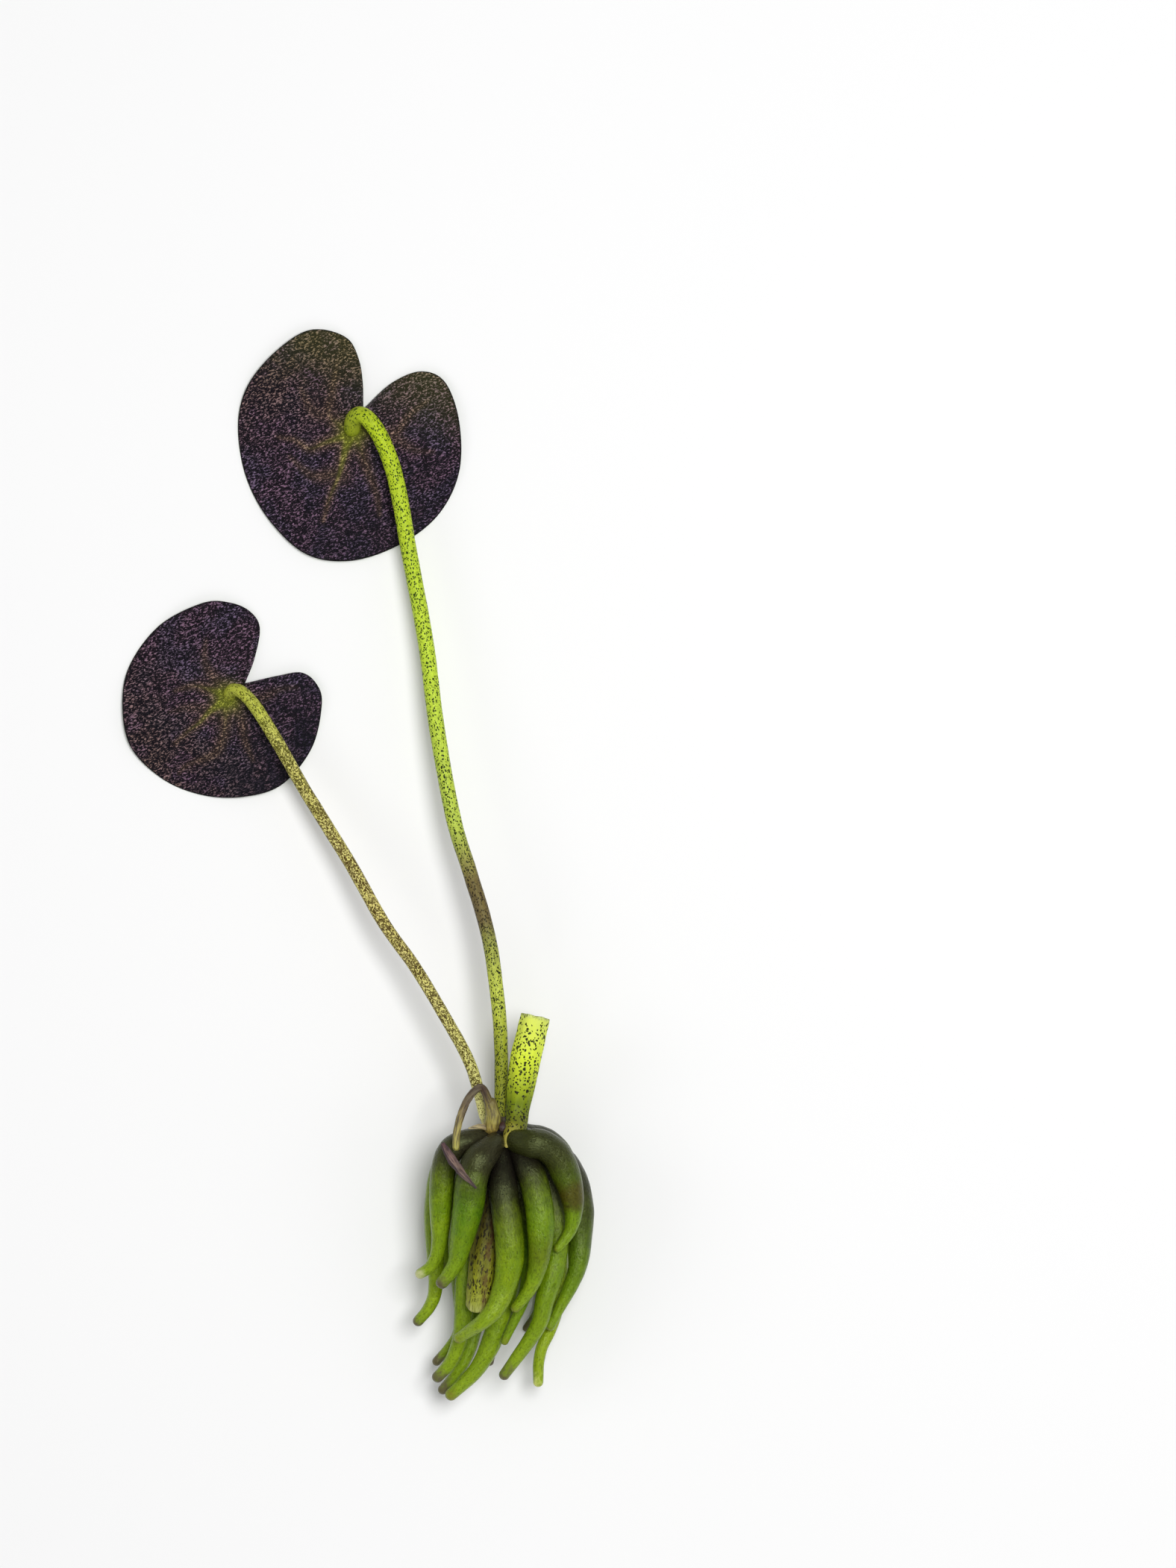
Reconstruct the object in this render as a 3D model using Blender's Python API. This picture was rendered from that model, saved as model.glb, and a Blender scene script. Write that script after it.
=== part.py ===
"""An aquarium banana plant, picked and laid on a table.

Routes and outlines are in millimetres from the heart, where the tubers meet under the leaf
stems: X runs to the right, Y from the tubers towards the leaves, Z is the height over the
table. The heart is an empty that carries every piece into the part's own frame, whose origin
is at the middle of the bottom of the plant's box.
"""

import math

import bmesh
import bpy
import numpy as np

MM = 0.001
GAP = 0.3  # clear of each other, in every pair of pieces
UP = np.array([0.0, 0.0, 1.0])
DOME_ANGLE = math.radians(42.0)  # where the one ring of a rounded end sits on its dome

# How a tuber is built
TUBER_SIDES = 10
TUBER_RINGS = 12
TUBER_NECK = 0.42  # the radius where it leaves the crown, as a share of its greatest
TUBER_SWOLLEN_AT = 0.22  # share of the length where the greatest radius is reached
TUBER_TAPERS_FROM = 0.42
REST_FLAT = 0.13  # share of the radius that a tuber lying on the table is pressed flat

# How the tubers are eased apart
EASE_STATIONS = 32
EASE_ROUNDS = 900
EASE_MARGIN = 0.1  # more room than the gap, because the solids have straight sides
EASE_DONE = 0.05  # the deepest that any two may still be in each other's margin
EASE_ROOTED = 0.1  # share of the length over which the root's hold on a tuber fades
FRONT_GIVE = (0.12, 0.06, 1.0)  # a tuber that shows keeps its place as seen from above
REAR_GIVE = (0.8, 0.2, 0.8)

# Name, greatest radius, tip radius, where it roots on the crown (degrees round it from the
# front, to the right, and Y), and the rest of its route to the tip
FRONT_TUBERS = (
    ("tuber_01", 2.15, 0.95, (-50, -0.7), (
        (-5.3, -1.0, 16.2), (-7.8, -2.9, 16.6), (-9.3, -6.9, 16.0), (-9.8, -12.8, 15.3),
        (-10.1, -19.4, 14.6), (-11.3, -23.2, 14.0), (-14.0, -25.2, 13.4))),
    ("tuber_02", 2.75, 1.1, (-12, -1.5), (
        (-2.2, -2.9, 17.8), (-3.8, -5.2, 18.3), (-4.7, -10.5, 18.4), (-5.6, -15.2, 18.2),
        (-6.4, -19.2, 17.7), (-7.4, -22.9, 17.2), (-10.2, -26.8, 16.6))),
    ("tuber_03", 1.8, 1.0, (-95, -1.8), (
        (-7.5, -4.0, 9.8), (-10.0, -8.0, 9.4), (-11.0, -14.1, 9.2), (-10.9, -20.5, 9.4),
        (-10.8, -26.6, 9.4), (-11.6, -30.1, 9.2), (-14.3, -33.6, 8.8))),
    ("tuber_04", 2.05, 1.05, (-74, -4.8), (
        (-4.4, -9.4, 10.6), (-5.0, -17.5, 9.8), (-5.6, -24.0, 10.2), (-6.1, -30.5, 10.6),
        (-6.8, -35.8, 10.4), (-8.6, -40.1, 9.7), (-11.2, -42.8, 9.2))),
    ("tuber_05", 2.5, 1.0, (3, -4.6), (
        (0.4, -7.4, 16.8), (0.7, -12.0, 18.0), (1.4, -17.4, 18.4), (1.6, -22.0, 18.3),
        (0.7, -26.4, 17.8), (-1.5, -30.8, 17.0), (-7.5, -35.8, 15.2))),
    ("tuber_06", 1.5, 0.85, (-102, -6.4), (
        (-5.6, -10.6, 7.2), (-7.2, -18.0, 6.0), (-7.2, -24.5, 6.2), (-6.7, -31.0, 6.4),
        (-7.3, -35.6, 6.6), (-11.2, -40.4, 6.4))),
    ("tuber_07", 2.45, 0.95, (38, -4.6), (
        (4.0, -6.2, 16.4), (5.5, -9.8, 17.4), (6.5, -14.2, 17.8), (6.6, -19.0, 17.8),
        (6.1, -23.4, 17.3), (4.8, -27.1, 16.6), (2.0, -30.8, 16.0))),
    ("tuber_08", 2.6, 0.8, (32, -1.7), (
        (4.2, -2.2, 17.0), (6.7, -2.7, 16.9), (9.3, -5.1, 16.2), (11.1, -8.9, 15.5),
        (12.0, -13.2, 15.0), (11.6, -17.3, 14.6), (9.1, -21.0, 14.6))),
    ("tuber_09", 2.0, 1.0, (70, -4.9), (
        (6.4, -8.0, 11.8), (8.6, -12.4, 11.3), (9.5, -18.0, 11.5), (8.9, -23.4, 12.3),
        (7.4, -28.8, 12.7), (5.9, -34.0, 12.4), (0.1, -42.4, 11.0))),
    ("tuber_10", 2.35, 0.85, (74, -1.7), (
        (8.2, -4.4, 10.4), (11.3, -7.6, 9.8), (13.0, -12.4, 9.5), (13.1, -18.8, 9.6),
        (12.4, -25.0, 10.0), (7.9, -34.4, 9.6))),
    ("tuber_11", 1.35, 0.95, (104, -5.4), (
        (6.4, -9.4, 8.0), (9.0, -15.0, 7.0), (9.8, -21.0, 6.8), (9.8, -27.4, 7.0),
        (8.6, -33.4, 7.8), (6.5, -38.4, 8.1), (6.2, -44.0, 7.6))),
    ("tuber_12", 2.35, 1.15, (98, -8.0), (
        (2.5, -12.0, 9.4), (2.4, -17.0, 9.4), (2.0, -22.0, 9.8), (1.1, -27.3, 10.2),
        (-0.2, -32.8, 10.4), (-2.2, -37.8, 10.2), (-4.4, -41.4, 9.8), (-9.0, -45.8, 9.0))),
    ("tuber_13", 1.5, 0.95, (-150, -8.0), (
        (-2.0, -13.0, 6.4), (-2.6, -19.0, 6.0), (-3.1, -25.5, 6.4), (-3.9, -32.3, 7.2),
        (-5.4, -38.2, 7.8), (-7.1, -41.4, 7.6), (-10.2, -45.1, 7.0))),
    ("tuber_14", 1.6, 0.7, (46, -7.6), (
        (3.8, -12.0, 12.6), (4.9, -18.5, 12.8), (4.9, -24.0, 13.0), (3.6, -29.6, 13.0),
        (0.4, -36.6, 12.0))),
)
REAR_TUBERS = (
    ("tuber_15", 2.0, 1.0, (-122, -1.2), (
        (-6.0, -3.8, 6.0), (-9.2, -9.0, 2.5), (-9.8, -15.0, 1.6), (-9.5, -21.0, 1.4),
        (-9.8, -26.0, 1.1))),
    ("tuber_16", 1.95, 1.0, (-155, -2.6), (
        (-3.6, -6.4, 5.2), (-5.5, -12.0, 2.0), (-5.9, -18.0, 1.6), (-5.5, -24.0, 1.4),
        (-6.2, -30.5, 1.1))),
    ("tuber_17", 1.95, 1.0, (-174, -5.7), (
        (-1.2, -9.2, 4.4), (-1.8, -15.0, 1.8), (-1.6, -22.0, 1.6), (-2.3, -28.0, 1.4),
        (-3.8, -34.0, 1.1))),
    ("tuber_18", 1.8, 0.75, (165, -4.2), (
        (2.1, -7.6, 4.6), (2.5, -15.0, 1.7), (2.0, -23.0, 1.5), (0.8, -30.0, 1.3),
        (-0.9, -35.8, 1.1), (-2.1, -41.0, 0.9))),
    ("tuber_19", 1.95, 0.7, (137, -2.5), (
        (5.2, -6.0, 5.4), (6.8, -13.0, 2.1), (6.8, -20.0, 1.6), (7.0, -27.0, 1.4),
        (6.2, -31.6, 1.2), (3.8, -35.2, 0.9))),
    ("tuber_20", 2.0, 1.0, (112, -0.8), (
        (7.8, -3.4, 6.6), (10.8, -9.0, 2.8), (11.5, -16.0, 1.7), (10.9, -23.0, 1.5),
        (10.2, -29.0, 1.1))),
)

CROWN_ROUTE = ((0.2, 0.6, 12.5), (0.0, -2.4, 12.1), (0.0, -5.6, 11.5), (0.0, -9.0, 10.7))
CROWN_RADIUS = 2.5
CROWN_FOOT_RADIUS = 1.5
CROWN_SIDES = 12
CROWN_RINGS = 8
CROWN_KNOBS = 5
CROWN_KNOB_HEIGHT = 0.07

# Leaf stems: radius at the crown, in the middle and at the leaf, then the route
PETIOLE_SIDES = 8
PETIOLE_RINGS = 32
PETIOLE_HOOK_FROM = 0.91  # share of the length where the stem starts to hook down to the blade
PETIOLE_HOOK_RINGS = 0.4  # share of the rings in that hook
PETIOLES = (
    ("petiole_left", (0.95, 1.05, 1.1), (
        (-2.6, 1.4, 12.3), (-3.5, 5.0, 12.7), (-5.2, 10.4, 12.9), (-8.7, 16.9, 12.5),
        (-14.2, 26.0, 11.3), (-19.3, 33.1, 10.1), (-25.1, 43.2, 8.4), (-32.2, 54.6, 6.4),
        (-37.3, 63.4, 5.4), (-40.8, 69.0, 5.4), (-43.1, 71.6, 5.3), (-44.7, 72.1, 4.3),
        (-45.5, 71.3, 2.9))),
    ("petiole_tall", (1.1, 1.3, 1.4), (
        (0.0, 1.3, 11.9), (0.1, 6.4, 12.2), (0.1, 12.0, 12.4), (-0.4, 20.0, 12.2),
        (-2.0, 31.0, 11.4), (-5.0, 41.4, 10.3), (-7.8, 50.4, 9.2), (-10.6, 65.4, 7.6),
        (-12.6, 80.4, 6.2), (-15.3, 94.9, 5.2), (-17.6, 107.4, 5.4), (-19.8, 113.6, 6.0),
        (-21.6, 116.6, 6.4), (-23.3, 118.0, 6.0), (-24.6, 117.3, 4.6), (-24.9, 115.6, 3.1))),
)

# Cut stubs of older leaf stems: radii at the crown, in the middle and at the cut, flatness
STUB_SIDES = 12
STUB_RINGS = 7
STUB_RIDGES = 6
STUB_RIDGE_HEIGHT = 0.035
STUBS = (
    ("cut_stub_upper", (1.7, 2.5, 2.35), 0.82, (
        (2.8, 0.8, 13.4), (3.3, 5.0, 13.8), (4.2, 11.0, 14.2), (5.8, 17.9, 14.4))),
    ("cut_stub_lower", (1.9, 2.5, 2.25), 0.86, (
        (-1.2, -12.0, 12.8), (-1.6, -16.0, 13.8), (-2.6, -22.0, 14.6), (-3.5, -30.8, 15.0))),
)

# The withered shoot that hangs over the tubers
STALK_SIDES = 8
STALK_RINGS = 16
STALK_RADII = (1.25, 0.65, 0.6)
STALK_ROUTE = (
    (-1.3, 1.3, 16.0), (-1.9, 3.9, 16.5), (-3.1, 6.3, 17.6), (-4.9, 5.0, 18.8),
    (-6.3, 2.2, 19.8), (-7.1, -1.0, 20.6), (-7.2, -4.0, 21.3))
WITHERED_LEAF_RADII = (0.5, 0.85, 0.35)
WITHERED_LEAF_FLAT = 0.6
WITHERED_LEAF_RINGS = 6
WITHERED_LEAF_ROUTE = ((-9.5, -2.7, 20.3), (-7.8, -5.3, 22.0), (-6.1, -7.6, 22.7), (-3.8, -10.1, 22.7))

# The blades: name, where the stem joins, waves of the rim and their phase, then the rim from
# the foot of the cleft round to it again
LEAF_AROUND = 48
LEAF_RINGS = (0.2, 0.5, 0.8, 1.0)
LEAF_THICKNESS = 0.6
LEAF_RIM_THICKNESS = 0.4
LEAF_DOME = 1.7  # how far the middle stands over the rim
LEAF_LIFT = 0.9  # how far the waves lift the rim off the table
LEAVES = (
    ("leaf_left", (-45.6, 70.9), 4, 0.5, (
        (-42.9, 73.3), (-41.3, 77.5), (-40.4, 82.6), (-42.0, 85.4), (-45.3, 86.9),
        (-49.9, 86.9), (-57.1, 83.3), (-62.0, 77.2), (-63.6, 70.9), (-62.4, 62.9),
        (-57.0, 57.2), (-50.2, 54.4), (-43.0, 54.1), (-36.6, 56.2), (-31.6, 62.4),
        (-29.9, 69.8), (-30.8, 73.2), (-33.3, 75.1), (-37.2, 74.6), (-42.9, 73.3))),
    ("leaf_tall", (-24.8, 115.5), 3, 0.9, (
        (-23.1, 119.3), (-23.2, 123.8), (-23.9, 127.8), (-25.8, 131.2), (-30.2, 132.7),
        (-34.3, 131.7), (-39.7, 127.2), (-43.2, 122.0), (-44.3, 115.7), (-42.9, 107.6),
        (-38.9, 100.3), (-32.6, 94.6), (-24.9, 93.6), (-16.8, 96.4), (-10.4, 101.4),
        (-6.9, 108.6), (-6.9, 117.2), (-9.3, 123.8), (-13.4, 125.6), (-18.4, 123.6),
        (-23.1, 119.3))),
)

# Linear colour and roughness of each kind of piece
TUBER_SKIN = ((0.14, 0.24, 0.02), 0.3)
CROWN_BARK = ((0.045, 0.022, 0.012), 0.7)
STEM_SKIN = ((0.36, 0.46, 0.06), 0.45)
STUB_SKIN = ((0.26, 0.32, 0.04), 0.5)
LEAF_SKIN = ((0.04, 0.022, 0.048), 0.5)
WITHERED_STALK_SKIN = ((0.3, 0.24, 0.1), 0.6)
WITHERED_LEAF_SKIN = ((0.07, 0.035, 0.045), 0.6)


def clear_scene():
    for obj in list(bpy.data.objects):
        bpy.data.objects.remove(obj)


def ramp(value, low, high):
    """0 up to low, 1 from high, and a smooth rise between."""
    t = np.clip((value - low) / (high - low), 0.0, 1.0)
    return t * t * (3.0 - 2.0 * t)


def smooth_line(points, count):
    """Evenly spaced points on a smooth curve through the given ones."""
    points = np.array(points, float)
    before = 2 * points[0] - points[1]
    after = 2 * points[-1] - points[-2]
    knots = np.vstack([before, points, after])
    t = np.linspace(0.0, 1.0, 16, endpoint=False)[:, None]
    spans = [
        0.5 * (2 * b + (c - a) * t + (2 * a - 5 * b + 4 * c - d) * t**2 + (3 * b - 3 * c + d - a) * t**3)
        for a, b, c, d in zip(knots, knots[1:], knots[2:], knots[3:])
    ]
    fine = np.vstack(spans + [points[-1:]])
    return at_lengths(fine, np.linspace(0.0, 1.0, count))


def at_lengths(line, shares):
    """The points of a line at these shares of its length."""
    steps = np.linalg.norm(np.diff(line, axis=0), axis=1)
    along = np.concatenate([[0.0], np.cumsum(steps)])
    wanted = np.asarray(shares) * along[-1]
    return np.stack([np.interp(wanted, along, axis) for axis in line.T], axis=1)


def line_length(line):
    return np.linalg.norm(np.diff(line, axis=0), axis=1).sum()


def tuber_radius(share, greatest, tip):
    """A narrow neck, a full middle and a long taper to the tip."""
    swell = TUBER_NECK + (1.0 - TUBER_NECK) * ramp(share, 0.0, TUBER_SWOLLEN_AT)
    taper = 1.0 + (tip / greatest - 1.0) * ramp(share, TUBER_TAPERS_FROM, 1.0)
    return greatest * swell * taper


def even(rings):
    return np.linspace(0.0, 1.0, rings)


def hooked(rings):
    """Ring places that are closer together in a leaf stem's hook."""
    return np.interp(even(rings), (0.0, 1.0 - PETIOLE_HOOK_RINGS, 1.0), (0.0, PETIOLE_HOOK_FROM, 1.0))


def stem_radius(share, radii):
    """A stem's radius, through those at its start, middle and end."""
    return np.interp(share, (0.0, 0.5, 1.0), radii)


def rooted_route(tuber):
    """The whole route of a tuber, from its root on the crown."""
    _, greatest, _, (turn, y), route = tuber
    share = np.interp(-y, (-CROWN_ROUTE[0][1], -CROWN_ROUTE[-1][1]), (0.0, 1.0))
    height = np.interp(-y, [-point[1] for point in CROWN_ROUTE], [point[2] for point in CROWN_ROUTE])
    reach = crown_radius(share) * (1.0 + CROWN_KNOB_HEIGHT) + GAP + TUBER_NECK * greatest
    angle = math.radians(turn)
    return ((reach * math.sin(angle), y, height + reach * math.cos(angle)), *route)


def rounded_start(radii, length):
    """The radii of evenly spaced stations, drawn in over the rounded start of their piece."""
    drawn = np.clip(np.linspace(0.0, length, len(radii)) / radii[0], 0.0, 1.0)
    return radii * np.sqrt(1.0 - (1.0 - drawn) ** 2)


def pushes(points, radii, owners, give):
    """How each point moves from those of other pieces that are too near it, and the deepest."""
    squares = (points**2).sum(axis=1)
    distance = np.sqrt(np.clip(squares[:, None] + squares - 2.0 * points @ points.T, 1e-6, None))
    depth = radii[:, None] + radii + GAP + EASE_MARGIN - distance
    depth[owners[:, None] == owners] = 0.0
    depth = np.clip(depth, 0.0, None)
    near = np.maximum((depth > 0.0).sum(axis=1), 1)
    weight = depth / distance
    away = points * weight.sum(axis=1)[:, None] - weight @ points
    return away / near[:, None] * give, depth.max()


def smoothed(moves):
    """Moves of neighbouring stations averaged, so that a tuber stays one smooth curve."""
    for _ in range(3):
        padded = np.concatenate([moves[:, :1], moves, moves[:, -1:]], axis=1)
        moves = 0.25 * padded[:, :-2] + 0.5 * padded[:, 1:-1] + 0.25 * padded[:, 2:]
    return moves


def eased_tubers(obstacles):
    """The tubers' centrelines, moved until they clear each other and the obstacles."""
    tubers = FRONT_TUBERS + REAR_TUBERS
    shares = np.linspace(0.0, 1.0, EASE_STATIONS)
    lines = np.stack([smooth_line(rooted_route(tuber), EASE_STATIONS) for tuber in tubers])
    radii = np.stack([
        rounded_start(tuber_radius(shares, greatest, tip), line_length(line))
        for (_, greatest, tip, _, _), line in zip(tubers, lines)])
    loose = ramp(shares, 0.0, EASE_ROOTED)[:, None]
    fixed = np.vstack([line for line, _ in obstacles])
    fixed_radii = np.concatenate([radius for _, radius in obstacles])
    fixed_owner = len(tubers)
    owners = np.append(np.repeat(np.arange(len(tubers)), EASE_STATIONS), [fixed_owner] * len(fixed))
    all_radii = np.concatenate([radii.ravel(), fixed_radii])
    front_count = len(FRONT_TUBERS) * EASE_STATIONS
    rear_count = len(REAR_TUBERS) * EASE_STATIONS
    give = np.vstack([[FRONT_GIVE] * front_count, [REAR_GIVE] * rear_count, [(0, 0, 0)] * len(fixed)])
    for _ in range(EASE_ROUNDS):
        points = np.vstack([lines.reshape(-1, 3), fixed])
        moves, deepest = pushes(points, all_radii, owners, give)
        if deepest < EASE_DONE:
            break
        lines += smoothed(moves[: len(owners) - len(fixed)].reshape(lines.shape)) * loose
        lines[:, :, 2] = np.maximum(lines[:, :, 2], radii * (1.0 - REST_FLAT))
    return {tuber[0]: line for tuber, line in zip(tubers, lines)}


def ring_shares(length, start_radius, end_radius, spacing, cut_end):
    """Shares of the length for the rings, and how far each is drawn in to round an end."""
    inset, drawn_in = 1.0 - math.cos(DOME_ANGLE), math.sin(DOME_ANGLE)
    last = length if cut_end else length - end_radius
    body = start_radius + (last - start_radius) * spacing
    stations = np.concatenate([[start_radius * inset], body])
    drawn = np.concatenate([[drawn_in], np.ones(len(body))])
    if not cut_end:
        stations = np.append(stations, length - end_radius * inset)
        drawn = np.append(drawn, drawn_in)
    return stations / length, drawn


def tube(name, line, radius_at, sides, spacing, flat=1.0, cut_end=False, relief=None):
    """A closed tube along a line, round at its ends or cut off square at the far one.

    spacing gives the rings' places from 0 to 1, and relief a share of the radius at an angle.
    """
    length = line_length(line)
    ends = radius_at(np.array([0.0, 1.0]))
    shares, drawn = ring_shares(length, ends[0], ends[1], spacing, cut_end)
    centres = at_lengths(line, shares)
    radii = radius_at(shares) * drawn
    ahead = at_lengths(line, np.clip(shares + 0.01, 0.0, 1.0)) - at_lengths(line, np.clip(shares - 0.01, 0.0, 1.0))
    angles = np.arange(sides) * 2.0 * math.pi / sides
    bm = bmesh.new()
    loops = []
    for share, centre, radius, tangent in zip(shares, centres, radii, ahead):
        across = np.cross(tangent, UP)
        across /= np.linalg.norm(across)
        over = np.cross(across, tangent / np.linalg.norm(tangent))
        reach = radius * (relief(share, angles) if relief else np.ones(sides))
        ring = centre + np.outer(reach * np.cos(angles), across) + np.outer(reach * np.sin(angles) * flat, over)
        loops.append([bm.verts.new(point) for point in ring])
    for first, second in zip(loops, loops[1:]):
        for i in range(sides):
            j = (i + 1) % sides
            bm.faces.new((first[i], first[j], second[j], second[i]))
    start = bm.verts.new(line[0])
    end = bm.verts.new(line[-1])
    for i in range(sides):
        j = (i + 1) % sides
        bm.faces.new((start, loops[0][j], loops[0][i]))
        bm.faces.new((end, loops[-1][i], loops[-1][j]))
    return finished(name, bm)


def finished(name, bm):
    """The mesh in metres, pressed flat where it would go through the table."""
    for vert in bm.verts:
        vert.co.z = max(vert.co.z, 0.0)
        vert.co *= MM
    bmesh.ops.recalc_face_normals(bm, faces=bm.faces)
    mesh = bpy.data.meshes.new(name)
    bm.to_mesh(mesh)
    bm.free()
    mesh.shade_smooth()
    obj = bpy.data.objects.new(name, mesh)
    bpy.context.scene.collection.objects.link(obj)
    return obj


def paint(obj, skin):
    colour, roughness = skin
    material = bpy.data.materials.new(obj.name)
    material.use_nodes = True
    shader = material.node_tree.nodes["Principled BSDF"]
    shader.inputs["Base Color"].default_value = (*colour, 1.0)
    shader.inputs["Roughness"].default_value = roughness
    shader.inputs["Metallic"].default_value = 0.0
    obj.data.materials.append(material)


def stalk_radius(share):
    """Swollen at the crown and thin from the hook on."""
    return np.interp(share, (0.0, 0.3, 1.0), STALK_RADII)


def crown_radius(share):
    rounded = np.interp(share, (0.0, 0.25, 0.6, 1.0), (0.72, 1.0, 0.92, CROWN_FOOT_RADIUS / CROWN_RADIUS))
    return CROWN_RADIUS * rounded


def crown_knobs(share, angles):
    return 1.0 + CROWN_KNOB_HEIGHT * np.cos(CROWN_KNOBS * angles + 9.0 * share)


def stub_ridges(share, angles):
    return 1.0 + STUB_RIDGE_HEIGHT * np.cos(STUB_RIDGES * angles)


def make_crown():
    line = smooth_line(CROWN_ROUTE, 40)
    crown = tube("crown", line, crown_radius, CROWN_SIDES, even(CROWN_RINGS), relief=crown_knobs)
    paint(crown, CROWN_BARK)
    return [crown]


def make_petioles():
    made = []
    for name, radii, route in PETIOLES:
        line = smooth_line(route, 200)
        stem = tube(name, line, lambda share, r=radii: stem_radius(share, r), PETIOLE_SIDES, hooked(PETIOLE_RINGS))
        paint(stem, STEM_SKIN)
        made.append(stem)
    return made


def make_stubs():
    made = []
    for name, radii, flat, route in STUBS:
        line = smooth_line(route, 60)
        stub = tube(
            name, line, lambda share, r=radii: stem_radius(share, r), STUB_SIDES, even(STUB_RINGS),
            flat=flat, cut_end=True, relief=stub_ridges)
        paint(stub, STUB_SKIN)
        made.append(stub)
    return made


def make_withered_shoot():
    stalk = tube(
        "withered_stalk", smooth_line(STALK_ROUTE, 80),
        stalk_radius, STALK_SIDES, even(STALK_RINGS))
    leaf = tube(
        "withered_leaf", smooth_line(WITHERED_LEAF_ROUTE, 40),
        lambda share: stem_radius(share, WITHERED_LEAF_RADII), STALK_SIDES, even(WITHERED_LEAF_RINGS),
        flat=WITHERED_LEAF_FLAT)
    paint(stalk, WITHERED_STALK_SKIN)
    paint(leaf, WITHERED_LEAF_SKIN)
    return [stalk, leaf]


def make_tubers(lines):
    made = []
    for name, greatest, tip, _, _ in FRONT_TUBERS + REAR_TUBERS:
        tuber = tube(
            name, lines[name], lambda share, g=greatest, t=tip: tuber_radius(share, g, t),
            TUBER_SIDES, even(TUBER_RINGS))
        paint(tuber, TUBER_SKIN)
        made.append(tuber)
    return made


def blade_height(reach, turn, waves, phase):
    """Height of the blade's lower face: a low dome whose rim waves on the table."""
    lift = LEAF_LIFT * 0.5 * (1.0 + np.sin(waves * turn + phase)) * reach**2
    return LEAF_DOME * (1.0 - reach**2) + lift


def make_leaf(name, joint, waves, phase, outline):
    joint = np.array(joint)
    rim = smooth_line(outline, LEAF_AROUND + 1)[:-1]
    turns = np.arctan2(*(rim - joint).T[::-1])
    bm = bmesh.new()
    centre = blade_height(0.0, 0.0, waves, phase)
    faces = {}
    for side, thickness in (("low", (0.0, 0.0)), ("high", (LEAF_THICKNESS, LEAF_RIM_THICKNESS))):
        middle = bm.verts.new((*joint, centre + thickness[0]))
        loops = []
        for reach in LEAF_RINGS:
            heights = blade_height(reach, turns, waves, phase)
            heights = heights + thickness[0] + (thickness[1] - thickness[0]) * reach
            places = joint + (rim - joint) * reach
            loops.append([bm.verts.new((*place, height)) for place, height in zip(places, heights)])
        faces[side] = (middle, loops)
    for middle, loops in faces.values():
        for i in range(LEAF_AROUND):
            j = (i + 1) % LEAF_AROUND
            bm.faces.new((middle, loops[0][i], loops[0][j]))
            for inner, outer in zip(loops, loops[1:]):
                bm.faces.new((inner[i], outer[i], outer[j], inner[j]))
    low_rim = faces["low"][1][-1]
    high_rim = faces["high"][1][-1]
    for i in range(LEAF_AROUND):
        j = (i + 1) % LEAF_AROUND
        bm.faces.new((low_rim[i], low_rim[j], high_rim[j], high_rim[i]))
    leaf = finished(name, bm)
    paint(leaf, LEAF_SKIN)
    return leaf


def chain(route, radius_at, stations):
    """A piece that stays where it is, as spheres along its route, for the tubers to clear."""
    line = smooth_line(route, stations)
    return line, rounded_start(radius_at(np.linspace(0.0, 1.0, stations)), line_length(line))


def standing_pieces():
    """Everything the tubers have to clear."""
    found = [chain(CROWN_ROUTE, lambda share: crown_radius(share) * (1 + CROWN_KNOB_HEIGHT), 14)]
    for _, radii, flat, route in STUBS:
        found.append(chain(route, lambda share, r=radii: stem_radius(share, r), 24))
    for _, radii, route in PETIOLES:
        found.append(chain(route[:4], lambda share, r=radii: stem_radius(share, r), 16))
    found.append(chain(STALK_ROUTE, stalk_radius, 30))
    found.append(chain(WITHERED_LEAF_ROUTE, lambda share: stem_radius(share, WITHERED_LEAF_RADII), 14))
    return found


def place_on_heart(pieces):
    """Hangs the pieces on an empty that puts the box's bottom centre at the origin."""
    corners = np.array([vert.co for piece in pieces for vert in piece.data.vertices])
    low, high = corners.min(axis=0), corners.max(axis=0)
    heart = bpy.data.objects.new("heart", None)
    heart.location = (-(low[0] + high[0]) / 2, -(low[1] + high[1]) / 2, -low[2])
    bpy.context.scene.collection.objects.link(heart)
    for piece in pieces:
        piece.parent = heart


def main():
    clear_scene()
    lines = eased_tubers(standing_pieces())
    pieces = make_crown() + make_petioles() + make_stubs() + make_withered_shoot() + make_tubers(lines)
    pieces += [make_leaf(*leaf) for leaf in LEAVES]
    place_on_heart(pieces)


main()
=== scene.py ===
"""The looks of an aquarium banana plant, picked and laid on a pale table.

Routes and outlines are in millimetres from the heart, where the tubers meet under the leaf
stems: X runs to the right, Y from the tubers towards the leaves, Z is the height over the
table. They are those of the solids, so each piece lies where its solid does.
"""

import math

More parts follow.
